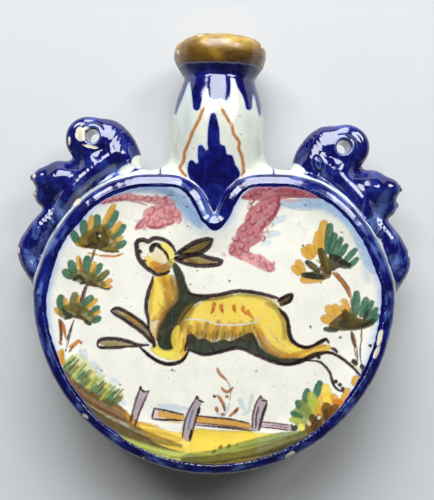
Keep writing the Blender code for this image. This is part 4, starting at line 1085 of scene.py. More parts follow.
def paint_ground(canvas):
    """The ground with its bushes, the fence and the sprig."""
    paint_strokes(canvas, "ground", (
        ("sky", 56, 0.5, 400, 240, 440, 290), ("sky", 40, 0.45, 520, 370, 560, 420),
        ("sky", 36, 0.4, 640, 460, 700, 500), ("sky", 36, 0.4, 700, 620, 745, 660),
        ("sky", 36, 0.5, 620, 520, 680, 560), ("sky", 44, 0.5, 1010, 670, 1120, 685, 1240, 700),
        ("sky", 40, 0.4, 480, 330, 540, 380)), grain=0.5, soft=2.0)
    paint_strokes(canvas, "sprig", (
        ("sky", 36, 0.5, 310, 610, 325, 660, 352, 704), ("sky", 26, 0.5, 412, 578, 400, 640, 380, 702),
        ("sky", 30, 0.5, 230, 655, 212, 700, 200, 742), ("sky", 26, 0.5, 130, 735, 200, 750),
        ("sky", 30, 0.5, 400, 700, 330, 745)), shape="blade", grain=0.5, soft=1.4)
    paint_areas(canvas, "ground", (
        ("lime", 0.4, 40, 280, 330, 350, 270, 420, 280, 500, 380, 620, 500, 730, 580, 700, 640, 560, 590,
         430, 520, 330, 420, 260, 370),
        ("umber", 0.9, 40, 200, 400, 330, 540, 430, 650, 600, 760, 760, 840, 900, 910, 1050, 965, 1190,
         985, 1200, 1040, 1000, 1010, 780, 940, 600, 850, 430, 730, 300, 600, 200, 480),
        ("brown", 0.85, 40, 215, 360, 260, 385, 320, 430, 370, 480, 460, 540, 560, 590, 680, 650, 760, 720,
         800, 790, 760, 810, 620, 740, 500, 680, 400, 600, 310, 510, 240, 430),
        ("ochre", 0.85, 40, 750, 705, 800, 770, 860, 800, 1000, 840, 1120, 900, 1050, 935, 900, 880, 780,
         830),
        ("yellow", 0.95, 5, 850, 815, 1000, 845, 1160, 880, 1290, 850, 1440, 862, 1620, 870, 1760, 880,
         1760, 1100, 1500, 1110, 1300, 1060, 1100, 1010, 950, 940),
        ("lime", 0.85, 20, 560, 815, 700, 895, 900, 965, 1100, 1020, 1400, 1070, 1580, 1085, 1580, 1150,
         1300, 1140, 1100, 1110, 850, 1030, 680, 930)), 1.4)
    paint_areas(canvas, "sprig", (
        ("yellow", 0.95, 0, 0, 862, 200, 872, 430, 884, 600, 890, 700, 880, 620, 905, 450, 935, 250, 990,
         60, 1040, -60, 1060, -60, 900),
        ("sage", 0.85, 165, 640, 880, 760, 870, 900, 830, 860, 880, 700, 930, 480, 985, 240, 1040, 0, 1085,
         -150, 1095, -100, 1050, 100, 1020, 300, 965, 480, 915),
        ("moss", 0.9, 165, 880, 840, 1000, 800, 1080, 780, 960, 880, 780, 970, 560, 1045, 300, 1095, 60,
         1125, -140, 1125, -120, 1080, 120, 1060, 380, 1010, 600, 950)), 1.6)
    paint_strokes(canvas, "ground", (
        ("umber", 60, 0.8, 330, 540, 420, 640, 600, 740, 760, 820, 900, 895, 1050, 950, 1180, 985),
        ("brown", 34, 0.6, 280, 470, 380, 580, 520, 680, 680, 760),
        ("umber", 34, 0.8, 250, 480, 330, 560, 420, 640), ("deep", 40, 0.6, 310, 520, 350, 570),
        ("cream", 16, 0.5, 240, 420, 300, 470), ("olive", 24, 0.7, 430, 560, 560, 620, 680, 690),
        ("ochre", 20, 0.5, 600, 660, 700, 710, 790, 780), ("umber", 22, 0.6, 330, 480, 470, 580, 640, 670),
        ("amber", 22, 0.9, 850, 800, 940, 820, 1010, 836),
        ("amber", 24, 0.9, 880, 858, 1040, 890, 1180, 930),
        ("ochre", 18, 0.8, 870, 890, 1040, 930, 1180, 950), ("amber", 14, 0.8, 1040, 780, 1200, 810),
        ("white", 14, 0.85, 960, 838, 1080, 845, 1185, 862), ("cream", 10, 0.6, 930, 870, 1100, 900),
        ("olive", 14, 0.7, 1100, 1072, 1250, 1084, 1400, 1080), ("sage", 16, 0.8, 1255, 1046, 1400, 1044),
        ("yellow", 16, 0.8, 1150, 1020, 1300, 1040, 1480, 1050),
        ("olive", 12, 0.5, 700, 930, 900, 1010, 1150, 1085), ("moss", 14, 0.6, 1200, 1105, 1450, 1120),
        ("brown", 20, 0.6, 560, 780, 720, 860, 900, 930)), grain=0.6, soft=1.5)
    paint_strokes(canvas, "sprig", (
        ("umber", 50, 0.9, 1080, 795, 960, 880, 800, 948, 620, 1012, 450, 1072, 230, 1112, 0, 1135),
        ("umber", 26, 0.7, 0, 1120, -120, 1128, -180, 1120),
        ("deep", 22, 0.5, 900, 900, 700, 990, 500, 1050), ("moss", 16, 0.6, 700, 905, 500, 960, 300, 1005),
        ("lime", 14, 0.5, 560, 905, 350, 960, 150, 1010),
        ("olive", 16, 0.6, 600, 950, 350, 1030, 100, 1080), ("sky", 18, 0.35, 700, 880, 620, 905),
        ("umber", 22, 0.9, 150, 1005, 170, 985), ("umber", 24, 0.9, 215, 1000, 235, 978),
        ("umber", 20, 0.9, 100, 1042, 118, 1020), ("moss", 14, 0.8, 120, 1060, 240, 1040),
        ("olive", 10, 0.7, 280, 990, 300, 965)), grain=0.5, soft=1.3)
    greens = ("lime", "leaf", "sage", "moss", "lime", "leaf", "yellow", "sage", "olive", "lime", "leaf",
              "moss")
    for k in range(44):
        along, across = (k // 2) / 21, (k % 2) * 52 + 16 * math.sin(2.3 * k)
        left, top = 300 + 400 * along - 0.5 * across, 318 + 290 * along ** 0.9 + 0.85 * across
        long = 46 + 14 * math.sin(1.9 * k)
        paint_strokes(canvas, "ground", ((
            greens[(5 * k) % 12], 22 + 8 * math.sin(3.1 * k), 0.85, left + 0.75 * long, top - 0.75 * long,
            left - 0.5 * long, top + 0.6 * long),), "leaf", 0.35, 0.9)
    paint_areas(canvas, "sprig", (
        ("sage", 0.8, 60, 720, 720, 790, 660, 870, 610, 920, 690, 900, 800, 820, 850, 740, 810),
        ("amber", 0.85, 60, 890, 640, 950, 580, 1010, 560, 1060, 620, 1130, 610, 1160, 640, 1100, 730,
         1060, 800, 960, 860, 890, 800, 860, 720),
        ("brown", 0.85, 60, 820, 830, 900, 770, 960, 710, 1060, 700, 1110, 760, 1010, 860, 880, 910)), 1.4)
    paint_rows(canvas, "sprig", "leaf", (
        ("leaf", 64, 940, 498, 905, 600), ("leaf", 58, 840, 558, 820, 640),
        ("leaf", 60, 768, 650, 800, 700), ("leaf", 50, 728, 730, 790, 760),
        ("lime", 84, 872, 592, 900, 690), ("sage", 70, 800, 700, 860, 750),
        ("lime", 50, 718, 782, 790, 790), ("yellow", 84, 985, 530, 1000, 650),
        ("amber", 62, 1045, 600, 1080, 650), ("amber", 62, 1155, 555, 1110, 680),
        ("orange", 44, 1060, 640, 1110, 650), ("amber", 50, 930, 690, 960, 740),
        ("sage", 44, 800, 640, 850, 720), ("lime", 30, 860, 640, 900, 730),
        ("brown", 90, 990, 680, 1010, 770), ("brown", 80, 1060, 690, 1030, 790),
        ("umber", 60, 880, 760, 900, 850), ("umber", 50, 930, 760, 920, 860),
        ("deep", 40, 750, 838, 740, 860), ("umber", 30, 985, 700, 990, 780),
        ("olive", 26, 1050, 720, 1040, 780), ("lemon", 56, 790, 830, 800, 850),
        ("cream", 34, 850, 800, 860, 820), ("white", 30, 935, 760, 930, 770)))
    paint_areas(canvas, "ground", (
        ("lilac", 0.9, 0, 870, 540, 900, 562, 932, 562, 890, 650, 850, 740, 830, 790, 790, 790, 810, 720,
         835, 620),
        ("lilac", 0.9, 0, 1312, 615, 1345, 640, 1325, 700, 1300, 780, 1280, 850, 1255, 950, 1200, 930,
         1205, 860, 1225, 770, 1265, 680),
        ("ochre", 0.85, 5, 1010, 712, 1110, 732, 1205, 748, 1200, 785, 1100, 775, 1000, 755),
        ("blush", 0.9, 5, 972, 700, 1010, 712, 1000, 765, 970, 770)))
    paint_areas(canvas, "post", (
        ("lilac", 0.9, 90, 795, 190, 865, 245, 830, 350, 790, 450, 770, 560, 695, 560, 705, 400, 735, 290),
        ("ochre", 0.85, 5, 70, 408, 250, 425, 400, 440, 660, 490, 670, 545, 500, 530, 300, 508, 70, 480),
        ("blush", 0.9, 5, 70, 482, 300, 508, 500, 532, 680, 552, 680, 566, 400, 535, 70, 502),
        ("blush", 0.9, 5, 800, 475, 1000, 498, 1135, 515, 1140, 555, 1000, 545, 800, 522)))
    paint_rows(canvas, "ground", "line", (
        ("soft_ink", 15, 866, 530, 832, 620, 806, 720, 786, 792),
        ("soft_ink", 15, 930, 568, 890, 650, 852, 740, 828, 822), ("ink", 22, 866, 522, 868, 545),
        ("ink", 15, 872, 545, 900, 562, 934, 556), ("brown", 30, 800, 740, 790, 800),
        ("brown", 24, 832, 780, 826, 830),
        ("soft_ink", 16, 1306, 606, 1262, 680, 1222, 770, 1202, 860, 1195, 925),
        ("soft_ink", 18, 1322, 700, 1300, 780, 1280, 850, 1258, 930), ("ink", 26, 1308, 600, 1312, 614),
        ("ink", 15, 1320, 628, 1362, 645), ("ink", 26, 1328, 686, 1316, 740),
        ("ink", 22, 1266, 860, 1252, 950), ("slate", 14, 1290, 680, 1260, 760, 1240, 860),
        ("ink", 16, 972, 692, 1050, 706, 1130, 724, 1208, 742), ("ink", 15, 975, 692, 962, 740, 958, 772),
        ("ink", 16, 962, 776, 1050, 782, 1130, 784, 1200, 790), ("soft_ink", 10, 1110, 386, 1118, 396),
        ("soft_ink", 7, 1135, 396, 1140, 400)))
    paint_rows(canvas, "post", "line", (
        ("soft_ink", 20, 790, 180, 750, 240, 722, 310, 702, 400, 694, 560),
        ("ink", 34, 862, 262, 830, 350, 800, 450, 775, 565), ("ink", 24, 790, 172, 800, 205),
        ("ink", 20, 805, 225, 870, 236), ("ink", 16, 770, 300, 745, 400, 735, 540),
        ("ink", 20, 66, 398, 230, 416, 400, 432, 530, 455, 660, 484),
        ("ink", 20, 66, 505, 230, 518, 400, 534, 560, 552, 690, 568),
        ("soft_ink", 13, 60, 478, 230, 492, 400, 512, 560, 532, 670, 546),
        ("soft_ink", 20, 800, 468, 960, 486, 1130, 508), ("soft_ink", 20, 800, 524, 960, 542, 1140, 562),
        ("soft_ink", 12, 805, 498, 960, 514, 1120, 534), ("pine", 36, 1140, 500, 1152, 560)))
    paint_rows(canvas, "sprig", "line", (
        ("rust", 22, 138, 378, 148, 412, 180, 445, 208, 472),
        ("slate", 7, 208, 470, 236, 520, 240, 570, 234, 630),
        ("rust", 22, 168, 530, 190, 556, 220, 562, 260, 530), ("rust", 28, 208, 598, 214, 602),
        ("rust", 26, 135, 590, 160, 620, 182, 660, 196, 712), ("ink", 22, 108, 598, 118, 602),
        ("rust", 30, 128, 688, 138, 716), ("rust", 28, 176, 740, 184, 742),
        ("rust", 26, 300, 688, 280, 715, 232, 752), ("ink", 14, 285, 700, 270, 716),
        ("soft_ink", 7, 182, 660, 196, 715)))


def paint_neck(canvas):
    """The band, drips, lines and leaf on the neck."""
    u, v = canvas.u, canvas.v
    aside = np.abs(u - VIEW_MIDDLE[0])
    on_neck = (v < 212) & (aside < 56) & (canvas.rim > 3.0)
    band = 73.6 + 1.5 * aside / 40 + (mottle(u, v, 7, 8) - 0.5) * 2
    canvas.blue[on_neck] = np.clip(0.5 + (band - v) / 1.4, 0, 1)[on_neck]
    canvas.ink[on_neck] = WHITE
    wash = 0.35 * np.exp(-((u - 186) / 7) ** 2) + 0.25 * np.exp(-((u - 252) / 8) ** 2)
    wash *= (0.4 + 0.6 * mottle(u, v, 12, 11)) * np.clip((160 - v) / 40, 0, 1)
    canvas.ink += (np.array(PIGMENTS["sky"]) / 255 - canvas.ink) * (wash * on_neck)[..., None]
    for width, shape, flat in (
            (80, "comma", (160, 50, 156, 95, 150, 140, 146, 190)),
            (30, "drop", (150, 120, 147, 175, 146, 188)),
            (26, "blade", (118, 55, 96, 100, 74, 160, 60, 220)), (60, "drop", (222, 30, 224, 70, 222, 130)),
            (36, "comma", (250, 40, 256, 90, 258, 130, 254, 160)),
            (16, "comma", (270, 50, 276, 100, 276, 140, 266, 168)),
            (70, "comma", (328, 50, 338, 95, 350, 140, 356, 190)),
            (26, "drop", (350, 130, 355, 175, 356, 188)),
            (26, "blade", (372, 60, 384, 110, 394, 170, 400, 225)),
            (40, "blade", (88, 60, 80, 120, 62, 190))):
        paint_strokes(canvas, "stem", (("cobalt", width, 0.96, *flat),), shape, 0.12, 1.0)
    for flat in (
            (490, 580, 462, 620, 444, 660, 420, 706, 398, 750, 378, 800, 352, 850, 338, 900, 318, 950, 308,
             1000, 290, 1050, 300, 1085, 322, 1112),
            (560, 590, 576, 620, 602, 660, 622, 706, 652, 750, 672, 810, 702, 870, 706, 915, 722, 960, 728,
             1010, 742, 1050, 738, 1085, 722, 1112)):
        points = placed("neck", flat)
        points[:, 0] += 0.7 * np.sin(np.arange(len(points)) * 2.3)
        canvas.stroke(points, 22 / VIEWS["neck"][2], "orange", 0.9, "even", 0.35, 0.8)
        canvas.stroke(points + [0.4, 0.3], 1.0, "rust", 0.5, "even", 0.6, 0.8)
    paint_strokes(canvas, "stem", (
        ("cobalt", 54, 0.93, 213, 222, 215, 330, 222, 450, 225, 585),
        ("cobalt", 52, 0.93, 163, 350, 180, 420, 205, 500, 222, 590),
        ("cobalt", 56, 0.93, 126, 412, 142, 462, 182, 530, 222, 592),
        ("cobalt", 48, 0.93, 252, 350, 245, 420, 234, 500, 226, 590),
        ("cobalt", 52, 0.93, 282, 390, 274, 445, 252, 520, 228, 590),
        ("cobalt", 54, 0.93, 300, 436, 292, 475, 262, 540, 228, 596),
        ("cobalt", 70, 0.93, 188, 440, 205, 530, 224, 595),
        ("cobalt", 70, 0.93, 256, 440, 244, 540, 226, 600)), grain=0.2, soft=0.9)
    for x, y in ((380, 915), (655, 815), (718, 815), (712, 688)):
        canvas.stroke(placed("neck", (x - 3, y, x + 3, y)), 1.0, "slate", 0.9, "even", 0)


def paint_specks(canvas):
    """Burnt specks and pinholes in the white glaze."""
    burnt = [placed(view, flat) for view, flat in (
        ("deer", (635, 330, 590, 420, 845, 400, 470, 980, 1020, 985, 1375, 700)),
        ("right", (240, 990, 180, 355, 705, 1140)), ("ground", (1115, 390, 560, 395, 705, 505)),
        ("cloud", (1330, 700, 1350, 770, 1355, 910)),
        ("streak", (620, 1050, 900, 955, 640, 760, 750, 1320, 90, 1305)))]
    for u, v in np.vstack(burnt):
        canvas.stroke([(u - 0.3, v), (u + 0.4, v + 0.2)], 1.2, "ink", 0.8, "even", 0.2)
        canvas.stroke([(u + 1.0, v + 1.2), (u + 1.5, v + 1.3)], 0.9, "cream", 0.35, "even", 0)
    random = np.random.default_rng(11)
    for u, v, dark in zip(random.uniform(40, 392, 260), random.uniform(180, 466, 260), random.random(260)):
        canvas.stroke([(u - 0.1, v), (u + 0.2, v)], 0.45 + 0.35 * dark, "soft_ink" if dark > 0.4 else "cream",
                      0.25 + 0.35 * dark, "even", 0)


def painted_canvas():
    """The whole painting, in the order that a painter lays it."""
    canvas = Canvas()
    paint_ground_coat(canvas)
    paint_clouds(canvas)
    paint_trees(canvas)
    paint_ground(canvas)
    paint_deer(canvas)
    canvas.blue = np.maximum(canvas.blue, canvas.band)
    for side in (-1, 1):
        point = [(215 + 13 * side, 214), (215 + 6 * side, 223), (215 + side, 229)]
        canvas.stroke(point, 7, "cobalt", 1, "line", 0.1)
    paint_neck(canvas)
    paint_specks(canvas)
    return canvas


# ---------------------------------------------------------------- what each vertex carries

# Ovals in the front view as (left, top, half width, half height, turn), in pixels and degrees. Chips down to
# the clay
CHIPS = ((379.6, 338, 2.4, 9.5, -14), (376.6, 352, 2.0, 8, -20), (85.5, 416, 3.6, 1.6, -38),
         (143.5, 457.5, 1.4, 0.9, 0), (290, 454.6, 6.0, 2.2, 28), (254.8, 469, 4.4, 1.2, 10),
         (77.5, 202.4, 5.6, 2.4, 50), (34.1, 175.7, 1.7, 2.3, 0), (34.8, 193.7, 1.4, 1.8, 0),
         (402.9, 186.0, 2.4, 3.0, 0), (401.6, 203.4, 1.6, 3.0, 0), (80.4, 134.4, 5.2, 7.4, 6),
         (87.0, 128.6, 3.6, 1.7, 0), (90.0, 146.4, 7.6, 1.7, -12), (69.3, 140.5, 1.2, 3.6, 0),
         (409.4, 252, 1.5, 5.0, 5), (18.8, 250, 1.4, 3.0, 0), (178, 52, 1.6, 2.4, 0),
         (262, 47, 1.2, 2.0, 0), (200, 35.5, 3.0, 0.8, 0))
# Places that the cobalt left white, in the same way
UNPAINTED = ((139, 162, 10, 9, 0), (127, 169, 15, 6.5, 27), (105, 180, 22, 3.2, 27), (297, 169, 12, 7, -30),
             (318, 183, 15, 1.8, -34), (32, 262, 3, 8, 20))
# Places where the cobalt ran thin, in the same way
THIN = ((30.8, 262, 3, 6, 20), (393.8, 262.8, 4, 6, -20), (377, 215, 4, 16, -25),
        (86, 200, 4, 10, 40), (120, 170, 8, 4, 20), (62, 214, 4, 9, 20))
# The colours were matched in cool daylight, so they are held a little warmer
WARMTH = np.array([1.0, 0.985, 0.88])
# What the white glaze is multiplied by on the wall, and elsewhere off the face: painted shade where the white
# turns away from the light, a little bluer on the wall
WALL_PAINTED_SHADE, OFF_FACE_PAINTED_SHADE = [0.87, 0.92, 0.95], [0.90, 0.92, 0.91]
# The lip's ochre, held dark as painted shade under its overhang, what its patches add, what its crest adds as
# painted light on the lip's top, and how far up the lip it starts
OCHRE, OCHRE_PATCH, LIT_CREST_OCHRE = [124, 88, 22], [96, 84, 26], [38, 40, 18]
OCHRE_FROM = 4.4
# The height at which the front rim's cobalt ends, and how much lower it ends on the right
COBALT_EDGE_Z, COBALT_EDGE_DROP = 43.7, 4.2
# How far round a place its cobalt is averaged off the face, in pixels
COBALT_BLUR = 1.5


def spots(rows, u, v):
    """How far inside the nearest spot a place is, in pixels, below zero outside."""
    best = np.full(u.shape, -FAR)
    for left, top, wide, high, turn in rows:
        c, s = math.cos(math.radians(turn)), math.sin(math.radians(turn))
        a, b = (u - left) * c - (v - top) * s, (u - left) * s + (v - top) * c
        best = np.maximum(best, (1 - np.hypot(a / wide, b / high)) * min(wide, high))
    return best


def projected(points):
    """Where points show in the photograph's frame, in pixels."""
    x, y, z = points.T
    scale = FOCAL / (CAMERA[2] - z)
    return VIEW_MIDDLE[0] + (x - CAMERA[0]) * scale, VIEW_MIDDLE[1] - (y - MIDDLE_Y - CAMERA[1]) * scale


def bend(points, step=1.0):
    """How sharply the skin bends outward, in 1/mm."""
    total = -6 * form(*points.T)
    for axis in range(3):
        for way in (step, -step):
            moved = points.copy()
            moved[:, axis] += way
            total += form(*moved.T)
    return total / step ** 2


def ochre_at(lx, ly, z):
    """The lip's ochre, held dark as painted shade, with its patches and a crest made paler as painted light.
    """
    turn = np.arctan2(z - MID_Z, lx) * 20
    patch = mottle(turn + 70, ly, 5.5, 33) * 0.7 + mottle(turn + 70, ly * 2, 1.8, 34) * 0.3
    # The crest is made paler as painted light, where the lip's top faces the light
    crest = np.clip((ly - NECK_TOP_Y - 9) / 7, 0, 1)
    return (OCHRE + (patch - 0.5)[:, None] * OCHRE_PATCH + crest[:, None] * LIT_CREST_OCHRE) / 255


def handle_wear(points, u, v):
    """How thin the cobalt is on a handle: thin on its edges and in brush marks, and pooled in its hollows."""
    x, y, z = points.T
    curve = bend(points)
    thin = np.clip((curve - 0.3) / 0.5, 0, 1) * 0.6 - np.clip(-curve / 0.5 - 0.1, 0, 1)
    thin = np.maximum(thin, np.clip(0.5 + spots(THIN, u, v) / 8, 0, 1) * np.where(z > MID_Z - 4, 1, 0.4))
    brushed = mottle(x * 2.2 + 90, y + z * 2.2, 4, 43) * 0.5 + mottle(x * 2 + 9, y + z * 2, 1.6, 44) * 0.5
    return thin + np.clip((brushed - 0.54) / 0.22, 0, 1) * np.clip((46 - y) / 20, 0.10, 0.36)


def rim_wear(x, y):
    """How thin the cobalt is along the rims, in streaks."""
    arc, rim = np.arctan2(y, x) * RIM_LINE_RADIUS + 300, rim_map(x, y)
    streak = mottle(arc, rim * 4, 9, 41) * 0.6 + mottle(arc, rim * 3, 3, 42) * 0.4
    return np.clip((streak - 0.52) / 0.35, 0, 1) * 0.7


def carried(name, points, canvas):
    """The painted colour and the shares of cobalt, bare clay and thin glaze at each vertex."""
    x, y, z = points.T
    front = points.copy()
    front[:, 2] = MID_Z + np.abs(z - MID_Z)
    u, v = projected(front)
    art = canvas.read(u, v)
    chip = np.where(z > MID_Z - 8, spots(CHIPS, *projected(points)), -FAR)
    if name == "painted_face":
        return {"paint": art[:, :3], "cobalt": art[:, 3], "bare": 0.5 + chip * 0.25, "thin": 0 * x}
    turns = np.arange(8) * math.pi / 4
    around = [canvas.read(u + COBALT_BLUR * math.cos(a), v + COBALT_BLUR * math.sin(a)) for a in turns]
    art[:, 3] = np.mean([colour[:, 3] for colour in around], 0)
    # What makes the cobalt's edges uneven, in millimetres
    wave = (mottle(x + 60, y + z, 7, 21) - 0.5) * 1.3 + (mottle(x + 9, y - z, 2.4, 22) - 0.5) * 0.7
    joined, *_, coils, handle = parts(x, y, z)
    lx, ly = lean_back(x, y)
    on_neck = (coils > 0.5) & (np.abs(lx) < 27) & (y > 25) & (handle > 1)
    tone = (mottle(x, y, 40, 31) - 0.5) * 0.04
    # The white off the face, and the neck's painting, are darkened here by painted shade
    plain = WHITE * (WALL_PAINTED_SHADE if name == "body_glaze" else OFF_FACE_PAINTED_SHADE)
    paint = np.where(on_neck[:, None], art[:, :3] * OFF_FACE_PAINTED_SHADE, plain + tone[:, None])
    edge = COBALT_EDGE_Z - COBALT_EDGE_DROP * np.clip((x - 34) / 12, 0, 1)
    cobalt = np.maximum(z - edge, BACK_RIM_Z + 0.8 - z)
    cobalt = np.maximum(cobalt, joined - handle + 0.8) + wave
    cobalt = np.where(z > MID_Z, np.minimum(cobalt, 1.0 - 0.45 * spots(UNPAINTED, u, v)), cobalt)
    cobalt = np.where(on_neck, art[:, 3], 0.5 + cobalt / 2)
    lip = ly - NECK_TOP_Y - OCHRE_FROM + wave * 0.8
    inside = (np.hypot(lx, z - MID_Z) < MOUTH_RADIUS + 1) & (ly > NECK_TOP_Y - 8)
    share = np.clip(0.5 + lip * 1.2, 0, 1)[:, None]
    near_lip = (ly > NECK_TOP_Y - 2) & (np.abs(lx) < 30)
    paint = np.where(near_lip[:, None], paint + (ochre_at(lx, ly, z) - paint) * share, paint)
    cobalt = np.where(near_lip, np.where(inside, 0, 0.5 - lip / 2), cobalt)
    if name == "back_face_glaze":
        cobalt = 0 * x
    land = 0.45 - z + wave * 0.5
    bare = 0.5 + np.maximum(chip * 0.25, land * 0.4)
    thin = 0 * x
    if "handle" in name:
        thin = handle_wear(points, u, v)
    elif "rim" in name:
        thin = np.where(on_neck, 0, rim_wear(x, y))
    return {"paint": paint, "cobalt": cobalt, "bare": bare, "thin": thin}


def keep(mesh, values):
    """Writes the carried values on a mesh."""
    paint = np.clip(values.pop("paint"), 0, 1)
    linear = np.where(paint < 0.04045, paint / 12.92, ((paint + 0.055) / 1.055) ** 2.4) * WARMTH
    held = mesh.color_attributes.new("paint", "FLOAT_COLOR", "POINT")
    held.data.foreach_set("color", np.hstack([linear, np.ones((len(linear), 1))]).astype(np.float32).ravel())
    for name, numbers in values.items():
        held = mesh.attributes.new(name, "FLOAT", "POINT")
        held.data.foreach_set("value", np.clip(numbers, -1, 2).astype(np.float32))


# ---------------------------------------------------------------- materials

def add(tree, kind, settings=(), **inputs):
    """A node with its settings and inputs. An input is a number, a colour or another node's socket."""
    made = tree.nodes.new(kind)
    for name, value in dict(settings).items():
        setattr(made, name, value)
    for name, value in inputs.items():
        socket = made.inputs[int(name[1:])] if name[1:].isdigit() else made.inputs[name.replace("_", " ")]
        if isinstance(value, bpy.types.NodeSocket):
            tree.links.new(value, socket)
        else:
            socket.default_value = value
    return made


def math_of(tree, operation, a, b=0.0, c=0.0, clamp=False):
    """Arithmetic on two values, or on three."""
    made = add(tree, "ShaderNodeMath", {"operation": operation, "use_clamp": clamp}, i0=a, i1=b, i2=c)
    return made.outputs[0]


def step_of(tree, value, low, high, to_low=0.0, to_high=1.0):
    """A smooth step of a value."""
    return add(tree, "ShaderNodeMapRange", {"interpolation_type": "SMOOTHSTEP"}, Value=value, From_Min=low,
               From_Max=high, To_Min=to_low, To_Max=to_high).outputs[0]


def mix_of(tree, factor, a, b, blend="MIX"):
    """Two colours mixed."""
    made = add(tree, "ShaderNodeMix", {"data_type": "RGBA", "blend_type": blend}, i0=factor, i6=a, i7=b)
    return made.outputs[2]


def noise_of(tree, place, size, detail=3.0, rough=0.5, distortion=0.0):
    """Noise with lumps of a size in millimetres."""
    return add(tree, "ShaderNodeTexNoise", Vector=place, Scale=1000 / size, Detail=detail, Roughness=rough,
               Distortion=distortion).outputs["Fac"]


def ramp_of(tree, factor, stops):
    """A colour that runs through stops of (factor, red, green, blue)."""
    made = add(tree, "ShaderNodeValToRGB", Fac=factor)
    held = made.color_ramp.elements
    held[0].position, held[1].position = stops[0][0], stops[-1][0]
    for place, *_ in stops[1:-1]:
        held.new(place)
    for element, (_, *colour) in zip(held, stops):
        element.color = (*colour, 1)
    return made.outputs[0]


def held_value(tree, name, output="Fac"):
    """What the mesh carries under a name."""
    return add(tree, "ShaderNodeAttribute", {"attribute_name": name}).outputs[output]


def glaze(name):
    """Tin glaze painted with colours: crazed white, clouded cobalt, and bare clay where it is chipped."""
    made = bpy.data.materials.new(name)
    made.use_nodes = True
    tree = made.node_tree
    shader = tree.nodes["Principled BSDF"]
    place = add(tree, "ShaderNodeTexCoord").outputs["Object"]
    paint = held_value(tree, "paint", "Color")
    broad = noise_of(tree, place, 9, 5)
    wavy = noise_of(tree, place, 9, 1)
    ripple = noise_of(tree, place, 2.6, 3)
    grain = noise_of(tree, place, 0.7, 2)

    # Cracks and pits in the white
    cells = add(tree, "ShaderNodeTexVoronoi", {"feature": "DISTANCE_TO_EDGE"}, Vector=place, Scale=210.0)
    craze = step_of(tree, cells.outputs["Distance"], 0.0, 0.035, 1.0, 0.0)
    craze = math_of(tree, "MULTIPLY", craze, step_of(tree, noise_of(tree, place, 14, 2), 0.42, 0.62))
    pits = add(tree, "ShaderNodeTexVoronoi", Vector=place, Scale=300.0)
    pit = step_of(tree, pits.outputs["Distance"], 0.03, 0.085, 1.0, 0.0)
    pit = math_of(tree, "MULTIPLY", pit, step_of(tree, noise_of(tree, place, 4, 1), 0.56, 0.62))

    shades = ramp_of(tree, broad, ((0.3, 0.90, 0.90, 0.91), (0.65, 1.0, 0.995, 0.98)))
    white = mix_of(tree, 1.0, paint, shades, "MULTIPLY")
    white = mix_of(tree, math_of(tree, "MULTIPLY", craze, 0.16), white, (0.30, 0.27, 0.26, 1))
    white = mix_of(tree, math_of(tree, "MULTIPLY", pit, 0.45), white, (0.20, 0.17, 0.16, 1))

    # The cobalt, clouded, washed thin in places and bled into the white at its edges
    held = math_of(tree, "ADD", held_value(tree, "cobalt"), math_of(tree, "MULTIPLY_ADD", grain, 0.16, -0.08))
    blue = step_of(tree, held, 0.36, 0.62)
    bleed = math_of(tree, "MULTIPLY", step_of(tree, held, 0.02, 0.45), 0.4)
    clouds = noise_of(tree, place, 8, 6, 0.62, 0.5)
    cobalt = ramp_of(tree, clouds, ((0.36, 0.0010, 0.0008, 0.052), (0.50, 0.0020, 0.0025, 0.092),
                                    (0.62, 0.007, 0.015, 0.160), (0.74, 0.040, 0.078, 0.32)))
    washed = held_value(tree, "thin")
    thin = math_of(tree, "MULTIPLY", washed, step_of(tree, clouds, 0.34, 0.62, 0.25, 1.0), clamp=True)
    cobalt = mix_of(tree, thin, cobalt, (0.15, 0.24, 0.53, 1))
    cobalt = mix_of(tree, step_of(tree, washed, -0.9, -0.1, 0.8, 0.0), cobalt, (0.001, 0.001, 0.035, 1))
    colour = mix_of(tree, bleed, white, (0.30, 0.40, 0.78, 1))
    colour = mix_of(tree, blue, colour, cobalt)

    # Chips down to the clay, with a dark edge
    chipped = math_of(tree, "ADD", held_value(tree, "bare"),
                      math_of(tree, "MULTIPLY_ADD", ripple, 0.7, -0.35))
    bare = step_of(tree, chipped, 0.47, 0.56)
    clay = mix_of(tree, ripple, (0.58, 0.47, 0.31, 1), (0.78, 0.70, 0.55, 1))
    edge = math_of(tree, "MULTIPLY", step_of(tree, chipped, 0.40, 0.48),
                   step_of(tree, chipped, 0.48, 0.60, 1, 0))
    colour = mix_of(tree, math_of(tree, "MULTIPLY", edge, 0.35), colour, (0.16, 0.12, 0.10, 1))
    colour = mix_of(tree, bare, colour, clay)
    tree.links.new(colour, shader.inputs["Base Color"])

    # The lip shines less
    dull = 0.18 if name.startswith("lip") else 0.0
    rough = step_of(tree, ripple, 0.3, 0.7, 0.06 + dull, 0.13 + 1.5 * dull)
    rough = math_of(tree, "ADD", rough, math_of(tree, "MULTIPLY", bare, 0.6))
    tree.links.new(rough, shader.inputs["Roughness"])
    shader.inputs["IOR"].default_value = 1.75

    height = math_of(tree, "MULTIPLY", wavy, 1.2)
    for value, share in ((ripple, 0.2), (pit, -0.5), (craze, -0.04), (bare, -1.6),
                         (math_of(tree, "MULTIPLY", bare, grain), 0.9)):
        height = math_of(tree, "MULTIPLY_ADD", value, share, height)
    bump = add(tree, "ShaderNodeBump", Strength=0.35, Distance=0.0002, Height=height)
    tree.links.new(bump.outputs[0], shader.inputs["Normal"])
    return made


BACKDROP = (0.62, 0.615, 0.59, 1)
WORLD_GREY = (0.06, 0.06, 0.06, 1)


def seen_of(tree):
    """1 where the camera looks straight at a thing, 0 in reflections and in its light."""
    return add(tree, "ShaderNodeLightPath").outputs["Is Camera Ray"]


